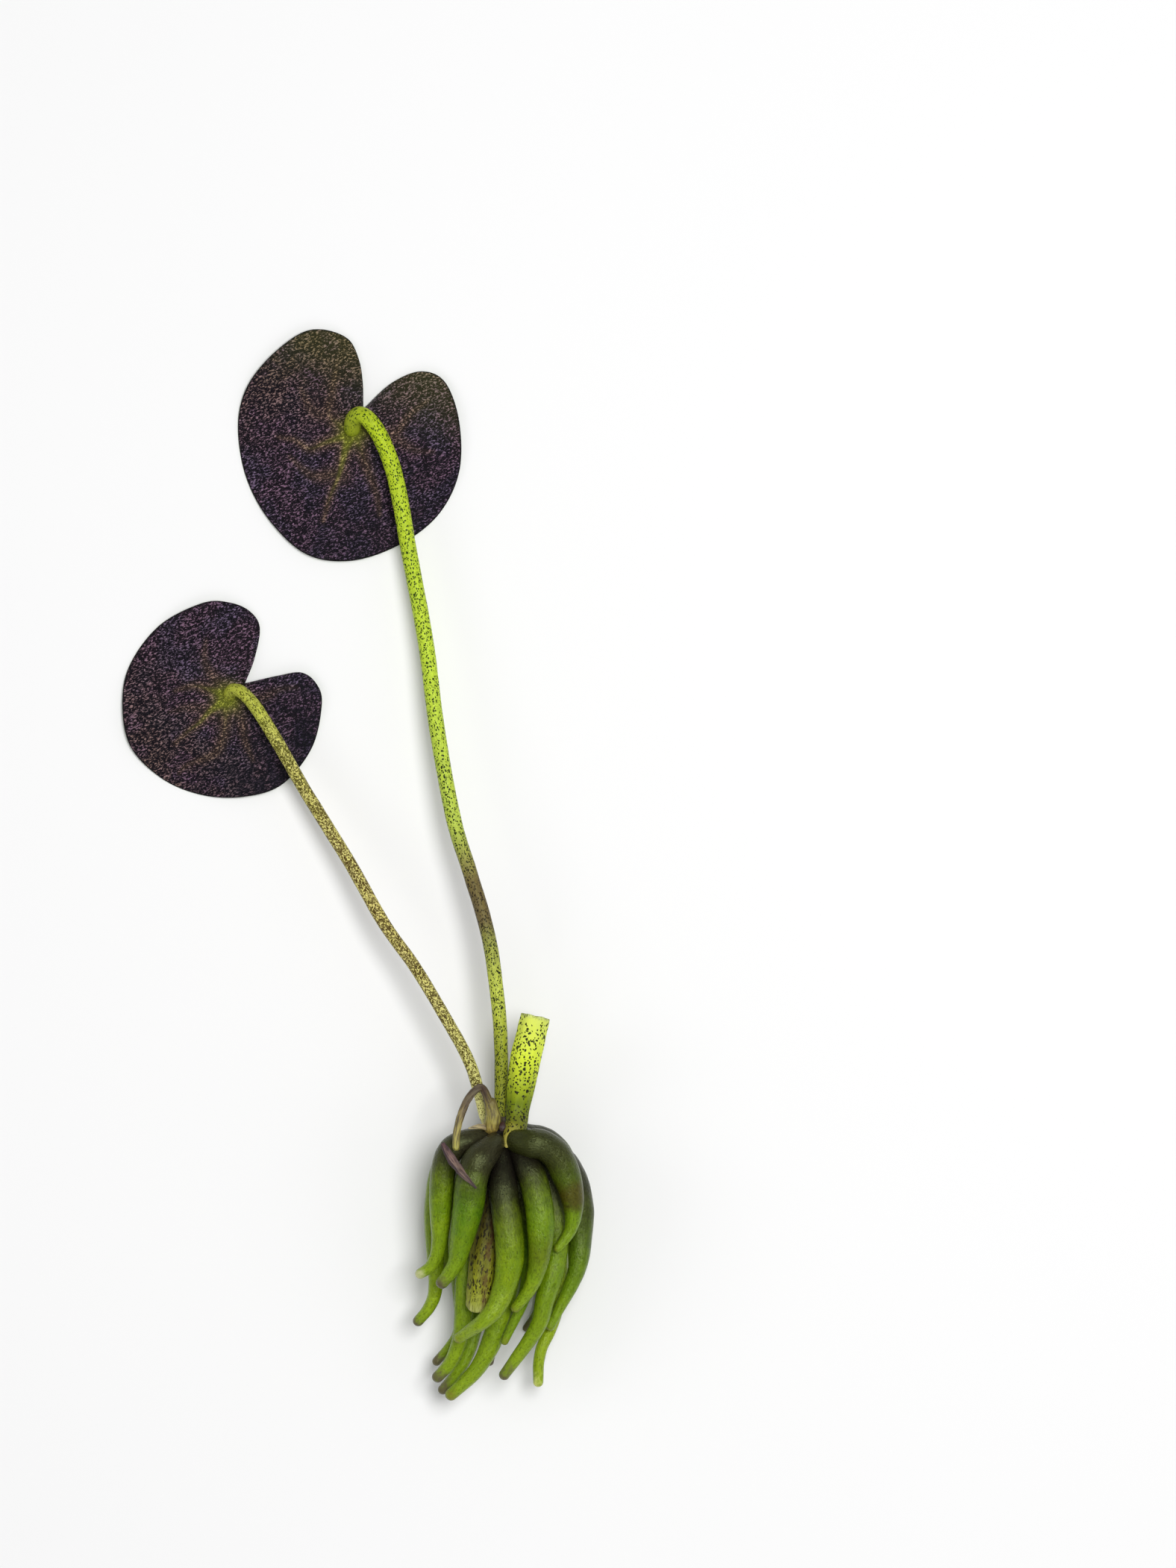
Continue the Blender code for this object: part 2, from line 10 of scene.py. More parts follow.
import bpy
import numpy as np
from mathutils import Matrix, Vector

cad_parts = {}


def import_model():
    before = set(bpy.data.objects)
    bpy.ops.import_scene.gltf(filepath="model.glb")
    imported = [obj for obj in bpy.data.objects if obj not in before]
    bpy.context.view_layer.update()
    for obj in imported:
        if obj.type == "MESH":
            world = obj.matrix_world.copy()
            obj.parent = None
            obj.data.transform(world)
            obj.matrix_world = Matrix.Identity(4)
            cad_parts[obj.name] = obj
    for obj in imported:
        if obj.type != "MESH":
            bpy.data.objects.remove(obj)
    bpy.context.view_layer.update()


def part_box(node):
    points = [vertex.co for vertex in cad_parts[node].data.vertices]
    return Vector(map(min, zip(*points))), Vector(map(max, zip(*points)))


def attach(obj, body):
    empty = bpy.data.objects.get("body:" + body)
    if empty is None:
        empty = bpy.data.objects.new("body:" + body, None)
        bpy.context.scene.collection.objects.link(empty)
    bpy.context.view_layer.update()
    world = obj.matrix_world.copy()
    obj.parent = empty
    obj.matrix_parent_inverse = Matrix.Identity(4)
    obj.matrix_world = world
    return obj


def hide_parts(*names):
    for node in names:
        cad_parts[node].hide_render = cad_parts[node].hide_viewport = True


MM = 0.001
GAP = 0.3

# How the tubers are eased apart, as in the solids
TUBER_NECK = 0.42
TUBER_SWOLLEN_AT = 0.22
TUBER_TAPERS_FROM = 0.42
REST_FLAT = 0.13
EASE_STATIONS = 32
EASE_ROUNDS = 900
EASE_MARGIN = 0.1
EASE_DONE = 0.05
EASE_ROOTED = 0.1
FRONT_GIVE = (0.12, 0.06, 1.0)
REAR_GIVE = (0.8, 0.2, 0.8)

# Name, greatest radius, tip radius, where it roots on the crown (degrees round it from the
# front, to the right, and Y), and the rest of its route to the tip
FRONT_TUBERS = (
    ("tuber_01", 2.15, 0.95, (-50, -0.7), (
        (-5.3, -1.0, 16.2), (-7.8, -2.9, 16.6), (-9.3, -6.9, 16.0), (-9.8, -12.8, 15.3),
        (-10.1, -19.4, 14.6), (-11.3, -23.2, 14.0), (-14.0, -25.2, 13.4))),
    ("tuber_02", 2.75, 1.1, (-12, -1.5), (
        (-2.2, -2.9, 17.8), (-3.8, -5.2, 18.3), (-4.7, -10.5, 18.4), (-5.6, -15.2, 18.2),
        (-6.4, -19.2, 17.7), (-7.4, -22.9, 17.2), (-10.2, -26.8, 16.6))),
    ("tuber_03", 1.8, 1.0, (-95, -1.8), (
        (-7.5, -4.0, 9.8), (-10.0, -8.0, 9.4), (-11.0, -14.1, 9.2), (-10.9, -20.5, 9.4),
        (-10.8, -26.6, 9.4), (-11.6, -30.1, 9.2), (-14.3, -33.6, 8.8))),
    ("tuber_04", 2.05, 1.05, (-74, -4.8), (
        (-4.4, -9.4, 10.6), (-5.0, -17.5, 9.8), (-5.6, -24.0, 10.2), (-6.1, -30.5, 10.6),
        (-6.8, -35.8, 10.4), (-8.6, -40.1, 9.7), (-11.2, -42.8, 9.2))),
    ("tuber_05", 2.5, 1.0, (3, -4.6), (
        (0.4, -7.4, 16.8), (0.7, -12.0, 18.0), (1.4, -17.4, 18.4), (1.6, -22.0, 18.3),
        (0.7, -26.4, 17.8), (-1.5, -30.8, 17.0), (-7.5, -35.8, 15.2))),
    ("tuber_06", 1.5, 0.85, (-102, -6.4), (
        (-5.6, -10.6, 7.2), (-7.2, -18.0, 6.0), (-7.2, -24.5, 6.2), (-6.7, -31.0, 6.4),
        (-7.3, -35.6, 6.6), (-11.2, -40.4, 6.4))),
    ("tuber_07", 2.45, 0.95, (38, -4.6), (
        (4.0, -6.2, 16.4), (5.5, -9.8, 17.4), (6.5, -14.2, 17.8), (6.6, -19.0, 17.8),
        (6.1, -23.4, 17.3), (4.8, -27.1, 16.6), (2.0, -30.8, 16.0))),
    ("tuber_08", 2.6, 0.8, (32, -1.7), (
        (4.2, -2.2, 17.0), (6.7, -2.7, 16.9), (9.3, -5.1, 16.2), (11.1, -8.9, 15.5),
        (12.0, -13.2, 15.0), (11.6, -17.3, 14.6), (9.1, -21.0, 14.6))),
    ("tuber_09", 2.0, 1.0, (70, -4.9), (
        (6.4, -8.0, 11.8), (8.6, -12.4, 11.3), (9.5, -18.0, 11.5), (8.9, -23.4, 12.3),
        (7.4, -28.8, 12.7), (5.9, -34.0, 12.4), (0.1, -42.4, 11.0))),
    ("tuber_10", 2.35, 0.85, (74, -1.7), (
        (8.2, -4.4, 10.4), (11.3, -7.6, 9.8), (13.0, -12.4, 9.5), (13.1, -18.8, 9.6),
        (12.4, -25.0, 10.0), (7.9, -34.4, 9.6))),
    ("tuber_11", 1.35, 0.95, (104, -5.4), (
        (6.4, -9.4, 8.0), (9.0, -15.0, 7.0), (9.8, -21.0, 6.8), (9.8, -27.4, 7.0),
        (8.6, -33.4, 7.8), (6.5, -38.4, 8.1), (6.2, -44.0, 7.6))),
    ("tuber_12", 2.35, 1.15, (98, -8.0), (
        (2.5, -12.0, 9.4), (2.4, -17.0, 9.4), (2.0, -22.0, 9.8), (1.1, -27.3, 10.2),
        (-0.2, -32.8, 10.4), (-2.2, -37.8, 10.2), (-4.4, -41.4, 9.8), (-9.0, -45.8, 9.0))),
    ("tuber_13", 1.5, 0.95, (-150, -8.0), (
        (-2.0, -13.0, 6.4), (-2.6, -19.0, 6.0), (-3.1, -25.5, 6.4), (-3.9, -32.3, 7.2),
        (-5.4, -38.2, 7.8), (-7.1, -41.4, 7.6), (-10.2, -45.1, 7.0))),
    ("tuber_14", 1.6, 0.7, (46, -7.6), (
        (3.8, -12.0, 12.6), (4.9, -18.5, 12.8), (4.9, -24.0, 13.0), (3.6, -29.6, 13.0),
        (0.4, -36.6, 12.0))),
)
REAR_TUBERS = (
    ("tuber_15", 2.0, 1.0, (-122, -1.2), (
        (-6.0, -3.8, 6.0), (-9.2, -9.0, 2.5), (-9.8, -15.0, 1.6), (-9.5, -21.0, 1.4),
        (-9.8, -26.0, 1.1))),
    ("tuber_16", 1.95, 1.0, (-155, -2.6), (
        (-3.6, -6.4, 5.2), (-5.5, -12.0, 2.0), (-5.9, -18.0, 1.6), (-5.5, -24.0, 1.4),
        (-6.2, -30.5, 1.1))),
    ("tuber_17", 1.95, 1.0, (-174, -5.7), (
        (-1.2, -9.2, 4.4), (-1.8, -15.0, 1.8), (-1.6, -22.0, 1.6), (-2.3, -28.0, 1.4),
        (-3.8, -34.0, 1.1))),
    ("tuber_18", 1.8, 0.75, (165, -4.2), (
        (2.1, -7.6, 4.6), (2.5, -15.0, 1.7), (2.0, -23.0, 1.5), (0.8, -30.0, 1.3),
        (-0.9, -35.8, 1.1), (-2.1, -41.0, 0.9))),
    ("tuber_19", 1.95, 0.7, (137, -2.5), (
        (5.2, -6.0, 5.4), (6.8, -13.0, 2.1), (6.8, -20.0, 1.6), (7.0, -27.0, 1.4),
        (6.2, -31.6, 1.2), (3.8, -35.2, 0.9))),
    ("tuber_20", 2.0, 1.0, (112, -0.8), (
        (7.8, -3.4, 6.6), (10.8, -9.0, 2.8), (11.5, -16.0, 1.7), (10.9, -23.0, 1.5),
        (10.2, -29.0, 1.1))),
)

CROWN_ROUTE = ((0.2, 0.6, 12.5), (0.0, -2.4, 12.1), (0.0, -5.6, 11.5), (0.0, -9.0, 10.7))
CROWN_RADIUS = 2.5
CROWN_FOOT_RADIUS = 1.5
CROWN_KNOB_HEIGHT = 0.07

# Leaf stems: radius at the crown, in the middle and at the leaf, then the route
PETIOLES = (
    ("petiole_left", (0.95, 1.05, 1.1), (
        (-2.6, 1.4, 12.3), (-3.5, 5.0, 12.7), (-5.2, 10.4, 12.9), (-8.7, 16.9, 12.5),
        (-14.2, 26.0, 11.3), (-19.3, 33.1, 10.1), (-25.1, 43.2, 8.4), (-32.2, 54.6, 6.4),
        (-37.3, 63.4, 5.4), (-40.8, 69.0, 5.4), (-43.1, 71.6, 5.3), (-44.7, 72.1, 4.3),
        (-45.5, 71.3, 2.9))),
    ("petiole_tall", (1.1, 1.3, 1.4), (
        (0.0, 1.3, 11.9), (0.1, 6.4, 12.2), (0.1, 12.0, 12.4), (-0.4, 20.0, 12.2),
        (-2.0, 31.0, 11.4), (-5.0, 41.4, 10.3), (-7.8, 50.4, 9.2), (-10.6, 65.4, 7.6),
        (-12.6, 80.4, 6.2), (-15.3, 94.9, 5.2), (-17.6, 107.4, 5.4), (-19.8, 113.6, 6.0),
        (-21.6, 116.6, 6.4), (-23.3, 118.0, 6.0), (-24.6, 117.3, 4.6), (-24.9, 115.6, 3.1))),
)

# Cut stubs of older leaf stems: radii at the crown, in the middle and at the cut, flatness
STUBS = (
    ("cut_stub_upper", (1.7, 2.5, 2.35), 0.82, (
        (2.8, 0.8, 13.4), (3.3, 5.0, 13.8), (4.2, 11.0, 14.2), (5.8, 17.9, 14.4))),
    ("cut_stub_lower", (1.9, 2.5, 2.25), 0.86, (
        (-1.2, -12.0, 12.8), (-1.6, -16.0, 13.8), (-2.6, -22.0, 14.6), (-3.5, -30.8, 15.0))),
)

# The withered shoot that hangs over the tubers
STALK_RADII = ((0.0, 1.25), (0.3, 0.65), (1.0, 0.6))
STALK_ROUTE = (
    (-1.3, 1.3, 16.0), (-1.9, 3.9, 16.5), (-3.1, 6.3, 17.6), (-4.9, 5.0, 18.8),
    (-6.3, 2.2, 19.8), (-7.1, -1.0, 20.6), (-7.2, -4.0, 21.3))
WITHERED_LEAF_RADII = (0.5, 0.85, 0.35)
WITHERED_LEAF_ROUTE = ((-9.5, -2.7, 20.3), (-7.8, -5.3, 22.0), (-6.1, -7.6, 22.7), (-3.8, -10.1, 22.7))

# The blades: where the stem joins, waves of the rim and their phase, the rim from the foot of
# the cleft round to it again, the veins from the joint outwards, and the directions in which the
# blade grows browner, darker with painted shade where a lobe tilts away, and more olive
LEAF_SOLID_AROUND = 48
LEAF_AROUND = 320
LEAF_REACHES = 84
LEAF_THICKNESS = 0.6
LEAF_RIM_THICKNESS = 0.4
LEAF_DOME = 1.7
LEAF_LIFT = 0.9
LEAVES = (
    ("leaf_left", (-45.6, 70.9), 4, 0.5, (
        (-42.9, 73.3), (-41.3, 77.5), (-40.4, 82.6), (-42.0, 85.4), (-45.3, 86.9),
        (-49.9, 86.9), (-57.1, 83.3), (-62.0, 77.2), (-63.6, 70.9), (-62.4, 62.9),
        (-57.0, 57.2), (-50.2, 54.4), (-43.0, 54.1), (-36.6, 56.2), (-31.6, 62.4),
        (-29.9, 69.8), (-30.8, 73.2), (-33.3, 75.1), (-37.2, 74.6), (-42.9, 73.3)), (
        (1.0, ((-46.0, 70.4), (-48.8, 68.5), (-50.4, 66.7), (-52.3, 65.3), (-54.6, 63.2))),
        (0.6, ((-46.0, 70.0), (-46.2, 65.9), (-46.8, 63.2), (-48.4, 61.2), (-52.6, 59.6), (-54.0, 58.2))),
        (0.5, ((-44.9, 69.9), (-43.5, 67.4), (-43.0, 64.1), (-41.6, 60.4))),
        (0.5, ((-46.3, 72.2), (-48.6, 74.8), (-49.6, 77.4), (-49.4, 80.6))),
        (0.7, ((-46.8, 71.6), (-49.1, 72.3), (-51.4, 72.8), (-54.6, 72.0))),
        (0.4, ((-44.4, 71.2), (-40.6, 70.6), (-37.2, 72.2), (-34.2, 72.6))),
        (0.35, ((-48.8, 68.5), (-51.9, 69.2), (-55.6, 68.4)))), ((-0.4, -0.5), (0.75, -0.65), (0.0, 0.0))),
    ("leaf_tall", (-24.8, 115.5), 3, 0.9, (
        (-23.1, 119.3), (-23.2, 123.8), (-23.9, 127.8), (-25.8, 131.2), (-30.2, 132.7),
        (-34.3, 131.7), (-39.7, 127.2), (-43.2, 122.0), (-44.3, 115.7), (-42.9, 107.6),
        (-38.9, 100.3), (-32.6, 94.6), (-24.9, 93.6), (-16.8, 96.4), (-10.4, 101.4),
        (-6.9, 108.6), (-6.9, 117.2), (-9.3, 123.8), (-13.4, 125.6), (-18.4, 123.6),
        (-23.1, 119.3)), (
        (1.0, ((-25.3, 114.6), (-26.0, 112.5), (-27.2, 107.9), (-28.6, 104.6), (-29.8, 100.4))),
        (0.6, ((-25.8, 115.6), (-28.8, 118.1), (-28.3, 121.8), (-27.4, 127.3))),
        (0.7, ((-26.2, 114.6), (-29.7, 113.4), (-32.1, 112.5), (-34.4, 113.9), (-37.4, 114.5))),
        (0.55, ((-27.2, 108.3), (-31.1, 107.9), (-33.4, 109.3), (-35.4, 111.2))),
        (0.6, ((-24.2, 114.4), (-22.4, 109.2), (-20.8, 104.6), (-20.4, 101.4))),
        (0.6, ((-23.6, 115.1), (-18.2, 114.8), (-15.4, 118.1), (-12.2, 120.6))),
        (0.4, ((-28.8, 118.1), (-31.6, 118.9), (-33.6, 122.6))),
        (0.4, ((-18.2, 114.8), (-14.6, 112.4), (-11.4, 112.0)))), ((-0.2, 1.0), (0.15, -0.4), (0.35, 0.9))),
)


def rgb(red, green, blue):
    """A colour from its usual 0 to 255 values."""
    shares = np.array([red, green, blue]) / 255.0
    linear = np.where(shares <= 0.04045, shares / 12.92, ((shares + 0.055) / 1.055) ** 2.4)
    return (*linear.tolist(), 1.0)


# Curves and the places of the tubers


def ramp(value, low, high):
    """0 up to low, 1 from high, and a smooth rise between."""
    t = np.clip((value - low) / (high - low), 0.0, 1.0)
    return t * t * (3.0 - 2.0 * t)


def smooth_line(points, count):
    """Evenly spaced points on a smooth curve through the given ones."""
    points = np.array(points, float)
    before = 2 * points[0] - points[1]
    after = 2 * points[-1] - points[-2]
    knots = np.vstack([before, points, after])
    t = np.linspace(0.0, 1.0, 16, endpoint=False)[:, None]
    spans = [
        0.5 * (2 * b + (c - a) * t + (2 * a - 5 * b + 4 * c - d) * t**2 + (3 * b - 3 * c + d - a) * t**3)
        for a, b, c, d in zip(knots, knots[1:], knots[2:], knots[3:])
    ]
    fine = np.vstack(spans + [points[-1:]])
    return at_lengths(fine, np.linspace(0.0, 1.0, count))


def at_lengths(line, shares):
    """The points of a line at these shares of its length."""
    steps = np.linalg.norm(np.diff(line, axis=0), axis=1)
    along = np.concatenate([[0.0], np.cumsum(steps)])
    wanted = np.asarray(shares) * along[-1]
    return np.stack([np.interp(wanted, along, axis) for axis in line.T], axis=1)


def line_length(line):
    return np.linalg.norm(np.diff(line, axis=0), axis=1).sum()


def tuber_radius(share, greatest, tip, neck=TUBER_NECK):
    """A narrow neck, a full middle and a long taper to the tip."""
    swell = neck + (1.0 - neck) * ramp(share, 0.0, TUBER_SWOLLEN_AT)
    taper = 1.0 + (tip / greatest - 1.0) * ramp(share, TUBER_TAPERS_FROM, 1.0)
    return greatest * swell * taper


def stepped(steps):
    """A radius that changes evenly between (share of the length, radius) pairs."""
    return lambda share: np.interp(share, *zip(*steps))


def stem_radius(radii):
    """A stem's radius, through those at its start, middle and end."""
    return stepped(tuple(zip((0.0, 0.5, 1.0), radii)))


def crown_radius(share):
    rounded = np.interp(share, (0.0, 0.25, 0.6, 1.0), (0.72, 1.0, 0.92, CROWN_FOOT_RADIUS / CROWN_RADIUS))
    return CROWN_RADIUS * rounded


def crown_height(y):
    """The height of the crown's middle at this Y."""
    return np.interp(-y, [-point[1] for point in CROWN_ROUTE], [point[2] for point in CROWN_ROUTE])


def rooted_route(tuber):
    """The whole route of a tuber, from its root on the crown."""
    _, greatest, _, (turn, y), route = tuber
    share = np.interp(-y, (-CROWN_ROUTE[0][1], -CROWN_ROUTE[-1][1]), (0.0, 1.0))
    reach = crown_radius(share) * (1.0 + CROWN_KNOB_HEIGHT) + GAP + TUBER_NECK * greatest
    angle = math.radians(turn)
    return ((reach * math.sin(angle), y, crown_height(y) + reach * math.cos(angle)), *route)


def rounded_start(radii, length):
    """The radii of evenly spaced stations, drawn in over the rounded start of their piece."""
    drawn = np.clip(np.linspace(0.0, length, len(radii)) / radii[0], 0.0, 1.0)
    return radii * np.sqrt(1.0 - (1.0 - drawn) ** 2)


def pushes(points, radii, owners, give):
    """How each point moves from those of other pieces that are too near it, and the deepest."""
    squares = (points**2).sum(axis=1)
    distance = np.sqrt(np.clip(squares[:, None] + squares - 2.0 * points @ points.T, 1e-6, None))
    depth = radii[:, None] + radii + GAP + EASE_MARGIN - distance
    depth[owners[:, None] == owners] = 0.0
    depth = np.clip(depth, 0.0, None)
    near = np.maximum((depth > 0.0).sum(axis=1), 1)
    weight = depth / distance
    away = points * weight.sum(axis=1)[:, None] - weight @ points
    return away / near[:, None] * give, depth.max()


def smoothed(moves):
    """Moves of neighbouring stations averaged, so that a tuber stays one smooth curve."""
    for _ in range(3):
        padded = np.concatenate([moves[:, :1], moves, moves[:, -1:]], axis=1)
        moves = 0.25 * padded[:, :-2] + 0.5 * padded[:, 1:-1] + 0.25 * padded[:, 2:]
    return moves


def chain(route, radius_at, stations):
    """A piece that stays where it is, as spheres along its route, for the tubers to clear."""
    line = smooth_line(route, stations)
    return line, rounded_start(radius_at(np.linspace(0.0, 1.0, stations)), line_length(line))


def standing_pieces():
    """Everything the tubers have to clear."""
    return [
        chain(CROWN_ROUTE, lambda share: crown_radius(share) * (1 + CROWN_KNOB_HEIGHT), 14),
        *(chain(route, stem_radius(radii), 24) for _, radii, _, route in STUBS),
        *(chain(route[:4], stem_radius(radii), 16) for _, radii, route in PETIOLES),
        chain(STALK_ROUTE, stepped(STALK_RADII), 30),
        chain(WITHERED_LEAF_ROUTE, stem_radius(WITHERED_LEAF_RADII), 14)]


def eased_tubers(obstacles):
    """The tubers' centrelines, moved until they clear each other and the obstacles."""
    tubers = FRONT_TUBERS + REAR_TUBERS
    shares = np.linspace(0.0, 1.0, EASE_STATIONS)
    lines = np.stack([smooth_line(rooted_route(tuber), EASE_STATIONS) for tuber in tubers])
    radii = np.stack([
        rounded_start(tuber_radius(shares, greatest, tip), line_length(line))
        for (_, greatest, tip, _, _), line in zip(tubers, lines)])
    loose = ramp(shares, 0.0, EASE_ROOTED)[:, None]
    fixed = np.vstack([line for line, _ in obstacles])
    fixed_radii = np.concatenate([radius for _, radius in obstacles])
    owners = np.append(np.repeat(np.arange(len(tubers)), EASE_STATIONS), [len(tubers)] * len(fixed))
    all_radii = np.concatenate([radii.ravel(), fixed_radii])
    give = [FRONT_GIVE] * len(FRONT_TUBERS) + [REAR_GIVE] * len(REAR_TUBERS)
    give = np.vstack([np.repeat(give, EASE_STATIONS, axis=0), np.zeros(fixed.shape)])
    for _ in range(EASE_ROUNDS):
        points = np.vstack([lines.reshape(-1, 3), fixed])
        moves, deepest = pushes(points, all_radii, owners, give)
        if deepest < EASE_DONE:
            break
        lines += smoothed(moves[: len(owners) - len(fixed)].reshape(lines.shape)) * loose
        lines[:, :, 2] = np.maximum(lines[:, :, 2], radii * (1.0 - REST_FLAT))
    return {tuber[0]: line for tuber, line in zip(tubers, lines)}


def heart_place():
    """Where the heart is in the part's frame, in metres, from the solids' boxes."""
    left, tall = (smooth_line(leaf[4], LEAF_SOLID_AROUND + 1) for leaf in LEAVES)
    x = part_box("leaf_left")[0].x - left[:, 0].min() * MM
    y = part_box("leaf_tall")[1].y - tall[:, 1].max() * MM
    return np.array([x, y, 0.0])


# Building node trees


def fill(tree, node, inputs):
    """Links each input that is given another node's socket, and sets the others."""
    for key, value in inputs.items():
        if isinstance(value, bpy.types.NodeSocket):
            tree.links.new(value, node.inputs[key])
        else:
            node.inputs[key].default_value = value


def add(tree, kind, inputs=(), **settings):
    """The outputs of a new node."""
    node = tree.nodes.new(kind)
    for key, value in settings.items():
        setattr(node, key, value)
    fill(tree, node, dict(inputs))
    return node.outputs


def maths(tree, operation, *values, clamp=False):
    return add(tree, "ShaderNodeMath", enumerate(values), operation=operation, use_clamp=clamp)[0]


def times(tree, first, second):
    return maths(tree, "MULTIPLY", first, second)


def vectors(tree, operation, inputs):
    return add(tree, "ShaderNodeVectorMath", inputs, operation=operation)[0]


def combine(tree, *parts):
    return add(tree, "ShaderNodeCombineXYZ", enumerate(parts))[0]


def swayed(tree, noise, amount, base, clamp=False):
    """The base, and the amount times what the noise is over a half."""
    return maths(tree, "MULTIPLY_ADD", maths(tree, "SUBTRACT", noise, 0.5), amount, base, clamp=clamp)


def blend(tree, share, first, second, mode="MIX"):
    """Two colours mixed by a share from 0 to 1."""
    return add(tree, "ShaderNodeMix", {0: share, 6: first, 7: second}, data_type="RGBA", blend_type=mode)[2]


def rise(tree, value, low, high, start=0.0, end=1.0):
    """A smooth change from start to end as the value goes from low to high."""
    inputs = {"Value": value, "From Min": low, "From Max": high, "To Min": start, "To Max": end}
    return add(tree, "ShaderNodeMapRange", inputs, interpolation_type="SMOOTHSTEP")[0]


def clouds(tree, vector, scale, detail=2.0, roughness=0.5, distortion=0.0):
    """Soft noise from 0 to 1, with so many features to a unit of the vector."""
    return add(tree, "ShaderNodeTexNoise", {
        "Vector": vector, "Scale": scale, "Detail": detail, "Roughness": roughness,
        "Distortion": distortion})[0]


def stretched(tree, vector, scale, turn=0.0):
    """The vector with each axis scaled, after a turn about Z."""
    turned = add(tree, "ShaderNodeVectorRotate", {"Vector": vector, "Angle": turn}, rotation_type="Z_AXIS")
    return add(tree, "ShaderNodeMapping", {"Vector": turned[0], "Scale": scale})[0]


def shades_along(tree, value, steps):
    """Shades along a value from 0 to 1, as (place, shade) pairs."""
    blended = add(tree, "ShaderNodeValToRGB", {0: value})[0]
    elements = blended.node.color_ramp.elements
    while len(elements) < len(steps):
        elements.new(0.5)
    for element, (place, shade) in zip(elements, steps):
        element.position = place
        element.color = shade
    return blended


def colours_along(tree, value, rows):
    """Colours along a value, from rows of a place, red, green and blue."""
    return shades_along(tree, value, [(place, rgb(*colour)) for place, *colour in rows])


def use(tree, group, values=()):
    """The outputs of a group that is placed in a material."""
    return add(tree, "ShaderNodeGroup", values, node_tree=group)


def attribute(tree, name, output="Fac"):
    return add(tree, "ShaderNodeAttribute", attribute_name=name)[output]


SOCKET_TYPES = {float: "Float", int: "Int", tuple: "Vector"}


def new_group(name, kind, inputs, outputs):
    """A node group, its inputs and its last node. An input has a type's name or its usual value."""
    group = bpy.data.node_groups.new(name, kind)
    for label, value in inputs.items():
        plain = isinstance(value, str)
        socket_type = "NodeSocket" + (value if plain else SOCKET_TYPES[type(value)])
        socket = group.interface.new_socket(label, in_out="INPUT", socket_type=socket_type)
        if not plain:
            socket.default_value = value
    for label, socket_type in outputs.items():
        group.interface.new_socket(label, in_out="OUTPUT", socket_type="NodeSocket" + socket_type)
    return group, add(group, "NodeGroupInput"), group.nodes.new("NodeGroupOutput")


def new_material(name, look, roughness=0.5, bump=0.1, strength=0.5, **constants):
    """A principled material. The look makes its Colour, and its Roughness and Height if they vary."""
    material = bpy.data.materials.new(name)
    material.use_nodes = True
    tree = material.node_tree
    made = look(tree)
    inputs = {"Base Color": made["Colour"], "Roughness": roughness, **constants}
    if "Roughness" in made:
        inputs["Roughness"] = made["Roughness"]
    if "Height" in made:
        inputs["Normal"] = add(tree, "ShaderNodeBump", {
            "Height": made["Height"], "Distance": bump * MM, "Strength": strength})[0]
    fill(tree, tree.nodes["Principled BSDF"], inputs)
    return material


# Finishes of the tubers


def make_tuber_group():
    """Wet skin: brown by the crown, near-black there where the top colour adds painted shade of the recess
    between the necks, mottled green, and a tip of its own colour.
    """
    group, given, end = new_group("tuber_skin_pattern", "ShaderNodeTree", {
        "Top Colour": "Color", "Brown And Shade Until": 0.2, "Ripeness": 0.5, "Tip From": 0.93, "Tip Colour": "Color",
        "Blotch": 0.0, "Blotch At": 0.5}, {"Colour": "Color", "Roughness": "Float", "Height": "Float"})
    skin = attribute(group, "skin", "Vector")
    along = attribute(group, "along")
    patches = clouds(group, skin, 0.45, 3.0, 0.6)
    streaks = clouds(group, stretched(group, skin, (3.0, 3.0, 1.1)), 1.0, 4.0, 0.65)
    grain = clouds(group, stretched(group, skin, (3.6, 3.6, 2.4)), 1.0, 3.0, 0.7)
    ragged = swayed(group, patches, 0.16, along)
    streaked = swayed(group, streaks, 0.08, ragged)
    # How far the dark neck runs: brown skin, and painted shade of the recess where the top colour is
    # near-black
    brown_and_shade_reach = maths(group, "DIVIDE", streaked, given["Brown And Shade Until"])
    ripe = swayed(group, patches, 0.8, given["Ripeness"], clamp=True)
    deep = blend(group, ripe, rgb(70, 112, 8), rgb(140, 162, 14))
    paler = blend(group, rise(group, along, 0.45, 1.0, 0.0, 0.5), deep, rgb(152, 178, 34))
    top = blend(group, rise(group, brown_and_shade_reach, 0.35, 1.0), given["Top Colour"], rgb(66, 72, 20))
    green = blend(group, rise(group, brown_and_shade_reach, 0.55, 1.25), top, paler)
    near_blotch = maths(group, "ABSOLUTE", maths(group, "SUBTRACT", ragged, given["Blotch At"]))
    blotch = times(group, rise(group, near_blotch, 0.02, 0.14, 1.0, 0.0), given["Blotch"])
    stained = blend(group, blotch, green, rgb(72, 58, 18))
    flecks = rise(group, grain, 0.5, 0.75, 0.0, 0.3)
    flecked = blend(group, flecks, stained, rgb(190, 204, 96), "SOFT_LIGHT")
    pits = rise(group, grain, 0.3, 0.5, 0.55, 0.0)
    pitted = blend(group, pits, flecked, rgb(70, 74, 34), "MULTIPLY")
    shaded = blend(group, rise(group, streaks, 0.32, 0.6, 0.25, 0.0), pitted, rgb(60, 76, 20), "MULTIPLY")
    tip = rise(group, streaked, given["Tip From"], maths(group, "ADD", given["Tip From"], 0.08))
    lumps = maths(group, "MULTIPLY_ADD", streaks, 0.5, patches)
    fill(group, end, {
        "Colour": blend(group, tip, shaded, given["Tip Colour"]),
        "Roughness": rise(group, grain, 0.3, 0.7, 0.14, 0.28),
        "Height": maths(group, "MULTIPLY_ADD", grain, 0.8, lumps)})
    return group


